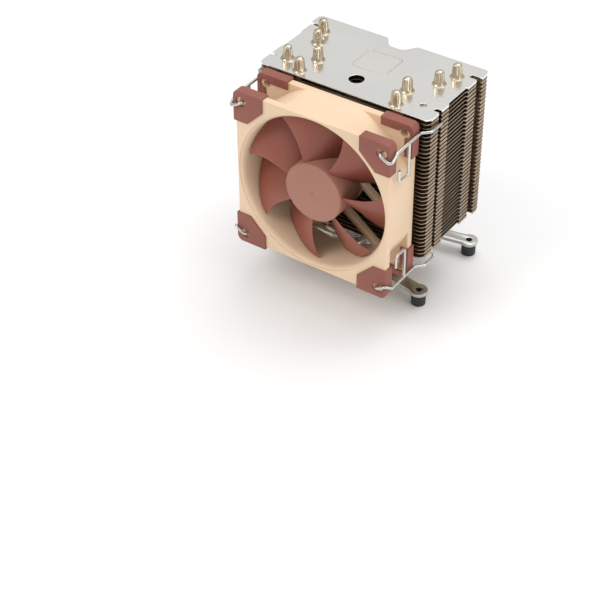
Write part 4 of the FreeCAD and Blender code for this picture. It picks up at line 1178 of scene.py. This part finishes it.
# %% The blade wheel
wheel = Recipe("blade_wheel", Blade="Object", Count="Int", First_Angle="Float", Centre="Vector",
               Plastic="Material")
spokes = wheel.node("GeometryNodePoints", Count=wheel.input("Count"))
blade_shape = wheel.node("GeometryNodeObjectInfo", Object=wheel.input("Blade"), out=4)
number = wheel.node("GeometryNodeInputIndex")
share = wheel.node("ShaderNodeMath", {"operation": "DIVIDE"}, number, wheel.input("Count"))
angle = wheel.node("ShaderNodeMath", {"operation": "MULTIPLY_ADD"}, share, -2 * math.pi,
                   wheel.input("First_Angle"))
facing = wheel.node("ShaderNodeCombineXYZ", Y=angle)
blades_set = wheel.node("GeometryNodeInstanceOnPoints", Points=spokes, Instance=blade_shape,
                        Rotation=facing)
centred = wheel.node("GeometryNodeTransform", Geometry=blades_set, Translation=wheel.input("Centre"))
wheel.end(centred, wheel.input("Plastic"))

blade = hidden_piece(blade_mesh(), "blade")
wheel_mesh = wheel.cook("impeller_blades", Blade=blade, Count=BLADES, First_Angle=-FIRST_BLADE,
                        Centre=(0, FAN_FRONT, FAN_AXIS_Z), Plastic=blade_finish.material)
bpy.data.objects.remove(blade)
blades = show(wheel_mesh, "impeller_blades", math.radians(50))
paint(blades, blade_finish, "impeller", ["impeller"])
print("blade wheel: %d faces" % len(blades.data.polygons))

# %% [markdown]
# The hub is a cup, turned from its section: a flat face with a small dimple at the centre, a faint
# step near the rim, a soft edge, and a straight wall that covers the motor.

# %% Hub
HUB_WALL = 1.4 * MM
HUB_CENTRE = 0.02 * MM
# the front of the section as radius and depth below the face, both in millimetres
HUB_FACE = [(0.7, 0.5), (1.15, 0.12), (1.5, 0), (15.4, 0), (15.75, 0.12), (15.95, 0.14), (16.45, 0.16),
            (16.8, 0.4)]
hub_inner = HUB_R - HUB_WALL
hub_profile = [(HUB_CENTRE, HUB_FRONT + 0.55 * MM)]
hub_profile += [(radius * MM, HUB_FRONT + depth * MM) for radius, depth in HUB_FACE]
hub_profile += [
    (HUB_R, HUB_FRONT + 0.85 * MM), (HUB_R, HUB_BACK - 0.2 * MM), (HUB_R - 0.2 * MM, HUB_BACK),
    (hub_inner, HUB_BACK), (hub_inner, HUB_FRONT + HUB_WALL), (HUB_CENTRE, HUB_FRONT + HUB_WALL),
]
hub = show(turned_mesh("hub", hub_profile, (0, FAN_FRONT, FAN_AXIS_Z), axis="Y", count=96, closed=True),
           "impeller_hub")
paint(hub, hub_sheen_finish, "impeller", ["impeller"])
print("hub: %d faces" % len(hub.data.polygons))

# %% [markdown]
# ## Corner pads
# Soft silicone pads cap all eight flange corners: chamfered squares in front and angle-shaped bands
# behind. Each has a slot for the clip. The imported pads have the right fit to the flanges, so each
# is a refined copy with a wide, three-step bevel.

# %% Pads
for place in ("front", "rear"):
    for level in ("top", "bottom"):
        for hand in ("left", "right"):
            node = "corner_pad_%s_%s_%s" % (place, level, hand)
            refined(node, pad_finish, 0.4 * MM, segments=3)
print("pads done")

# %% [markdown]
# ## Wire clips
# Each clip is one length of spring wire with a finger loop welded to each arm. A bent wire is a
# path with rounded corners and a round section, which is just what Geometry Nodes do with a mesh
# of bare edges: the edges become a curve, its corners are filleted, and a circle is swept along it.

# %% Bent wire
WIRE_R = 0.8 * MM
WIRE_BEND = 1.7 * MM
WIRE_GAP = 0.4 * MM             # air between a clip and what it passes
PAD_SKIN = 1.0 * MM             # a pad stands this far out of the frame
CLIP_SIDE = FAN_HALF + PAD_SKIN + WIRE_GAP + WIRE_R
CLIP_FRONT = FAN_FRONT - PAD_SKIN - WIRE_GAP - WIRE_R
CLIP_FIN = PLAIN_HALF + WIRE_GAP + WIRE_R
CLIP_REST = (PLAIN_HALF - 2.2 * MM, -25.0 * MM)     # where a clip lies in its notch
ARM_Z = FAN_HALF - 4.6 * MM                         # height of an arm above the fan's axis

bend = Recipe("bent_wire", Path="Object", Bend="Float", Wire="Float", Steel="Material")
edges = bend.node("GeometryNodeObjectInfo", Object=bend.input("Path"), out=4)
run = bend.node("GeometryNodeMeshToCurve", Mesh=edges)
rounded = bend.node("GeometryNodeFilletCurve", {"mode": "POLY"}, Curve=run, Count=7,
                    Radius=bend.input("Bend"))
gauge = bend.node("GeometryNodeCurvePrimitiveCircle", {"mode": "RADIUS"}, Resolution=16,
                  Radius=bend.input("Wire"))
drawn = bend.node("GeometryNodeCurveToMesh", Curve=rounded, Profile_Curve=gauge, Fill_Caps=True)
bend.end(drawn, bend.input("Steel"))
print("clip wire: %.1f mm thick" % (2 * WIRE_R / MM))

# %% [markdown]
# A clip hooks into the front pads, runs round their sides and back to the fins, and lies upright in
# the notch. Its lower half mirrors its upper half about the fan's axis, and the left clip mirrors
# the right one.

# %% Clips
HOOK_DEPTH = 2.4 * MM
EDGE_DROP = 4.0 * MM            # the front stretch slants this far towards the axis
ARM_FRONT = 3.0 * MM            # an arm runs level from this far behind the front face
LOOP_FRONT = 6.0 * MM
LOOP_BACK = 14.6 * MM
LOOP_DROP = 18.5 * MM
LOOP_RETURN = 7.0 * MM


def clip_runs():
    """The right clip's corners as (x, y, height above the fan's axis): the wire, then its two loops."""
    upper = [
        (HOLE_AT, FAN_FRONT + HOOK_DEPTH, HOLE_AT), (HOLE_AT, CLIP_FRONT, HOLE_AT),
        (CLIP_SIDE, CLIP_FRONT, HOLE_AT - EDGE_DROP), (CLIP_SIDE, FAN_FRONT + ARM_FRONT, ARM_Z),
        (CLIP_SIDE, FAN_FRONT + FAN_DEPTH, ARM_Z), (CLIP_FIN, fin_low.y + WIRE_BEND, ARM_Z),
        (CLIP_FIN, CLIP_REST[1], ARM_Z), (*CLIP_REST, ARM_Z - 2 * WIRE_BEND),
    ]
    front, back = FAN_FRONT + LOOP_FRONT, FAN_FRONT + LOOP_BACK
    low = ARM_Z - LOOP_DROP
    loop = [(CLIP_SIDE, back, ARM_Z), (CLIP_SIDE, back, low), (CLIP_SIDE, front, low),
            (CLIP_SIDE, front, low + LOOP_RETURN)]
    below = [(x, y, -z) for x, y, z in reversed(upper)]
    return [upper + below, loop, [(x, y, -z) for x, y, z in loop]]


def path_mesh(name, runs, side):
    corners, links = [], []
    for run_points in runs:
        start = len(corners)
        corners += [(side * x, y, FAN_AXIS_Z + z) for x, y, z in run_points]
        links += [(i, i + 1) for i in range(start, len(corners) - 1)]
    mesh = bpy.data.meshes.new(name)
    mesh.from_pydata(corners, links, [])
    return mesh


for hand, side in (("left", -1), ("right", 1)):
    path = hidden_piece(path_mesh("clip_path", clip_runs(), side), "clip_path")
    bent = bend.cook("clip_wire_" + hand, Path=path, Bend=WIRE_BEND, Wire=WIRE_R,
                     Steel=clip_finish.material)
    bpy.data.objects.remove(path)
    clip = show(bent, "clip_wire_" + hand, math.radians(60))
    paint(clip, clip_finish, "clip_" + hand, ["fan_clip_" + hand])
print("clips: %d faces each" % len(clip.data.polygons))

# %% [markdown]
# ## Inside the motor
# The rotor and stator are hidden at rest, but they are real pieces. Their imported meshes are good
# enough for what a camera can see through the duct, so each only receives its finish.

# %% Motor finishes
MOTOR = {
    "rotor_yoke": yoke_finish, "rotor_magnet": ferrite_finish, "rotor_shaft": screw_finish,
    "shaft_clip": spring_finish, "bearing_sleeve": bearing_finish, "stator_core": lamination_finish,
    "stator_windings": winding_finish, "fan_circuit_board": board_finish,
}
for node, finish in MOTOR.items():
    part = bpy.data.objects[node]
    part.data.materials.clear()
    part.data.materials.append(finish.material)
print("motor parts finished:", len(MOTOR))

# %% [markdown]
# ## Floor and light
# A pale floor under the spacers, an overcast world and four large soft lamps. The key lamp is above
# and to the front left, so the beige frame is lit and the fins' side keeps its contrast. The dim
# lamp at the back is what the top fin mirrors towards the camera.

# %% Floor
FLOOR_HALF = 3.0
FLOOR_GAP = 0.2 * MM            # the floor lies this far under the spacers
floor_height = frame_box[0][2] - FLOOR_GAP
corners = [(sx * FLOOR_HALF, sy * FLOOR_HALF, floor_height) for sx, sy in SQUARE]
floor_mesh = bpy.data.meshes.new("floor")
floor_mesh.from_pydata(corners, [], [(0, 1, 2, 3)])
floor = bpy.data.objects.new("floor", floor_mesh)
bpy.context.scene.collection.objects.link(floor)
floor_finish = Finish("floor_white", roughness=0.7)
floor_finish.feed("Base Color", floor_finish.mix(colour(252, 252, 252), colour(247, 247, 247),
                                                 floor_finish.noise(6.0)))
floor.data.materials.append(floor_finish.material)
print("floor at %.1f mm" % (floor_height / MM))

# %% Lamps and world
SUBJECT = Vector((0, -0.02, 0.06))


def lamp(name, place, size, watts, tint=(1, 1, 1)):
    light = bpy.data.lights.new(name, "AREA")
    light.shape = "RECTANGLE"
    light.size, light.size_y = size
    light.energy = watts
    light.color = tint
    holder = bpy.data.objects.new(name, light)
    aim = (SUBJECT - Vector(place)).to_track_quat("-Z", "Y")
    holder.matrix_world = Matrix.Translation(place) @ aim.to_matrix().to_4x4()
    bpy.context.scene.collection.objects.link(holder)


lamp("key", (-0.35, -0.7, 0.85), (0.5, 0.5), 3.2, (1.0, 0.98, 0.95))
lamp("top", (0.1, 0.25, 1.0), (0.8, 0.8), 4.5)
lamp("back", (-0.45, 0.8, 0.85), (1.0, 0.8), 0.38)
lamp("side", (0.9, -0.1, 0.35), (0.35, 0.6), 1.6)

world = bpy.data.worlds.new("world")
world.use_nodes = True
world.node_tree.nodes["Background"].inputs["Color"].default_value = (1.0, 1.0, 1.0, 1.0)
world.node_tree.nodes["Background"].inputs["Strength"].default_value = 0.64
bpy.context.scene.world = world
print("stage set")
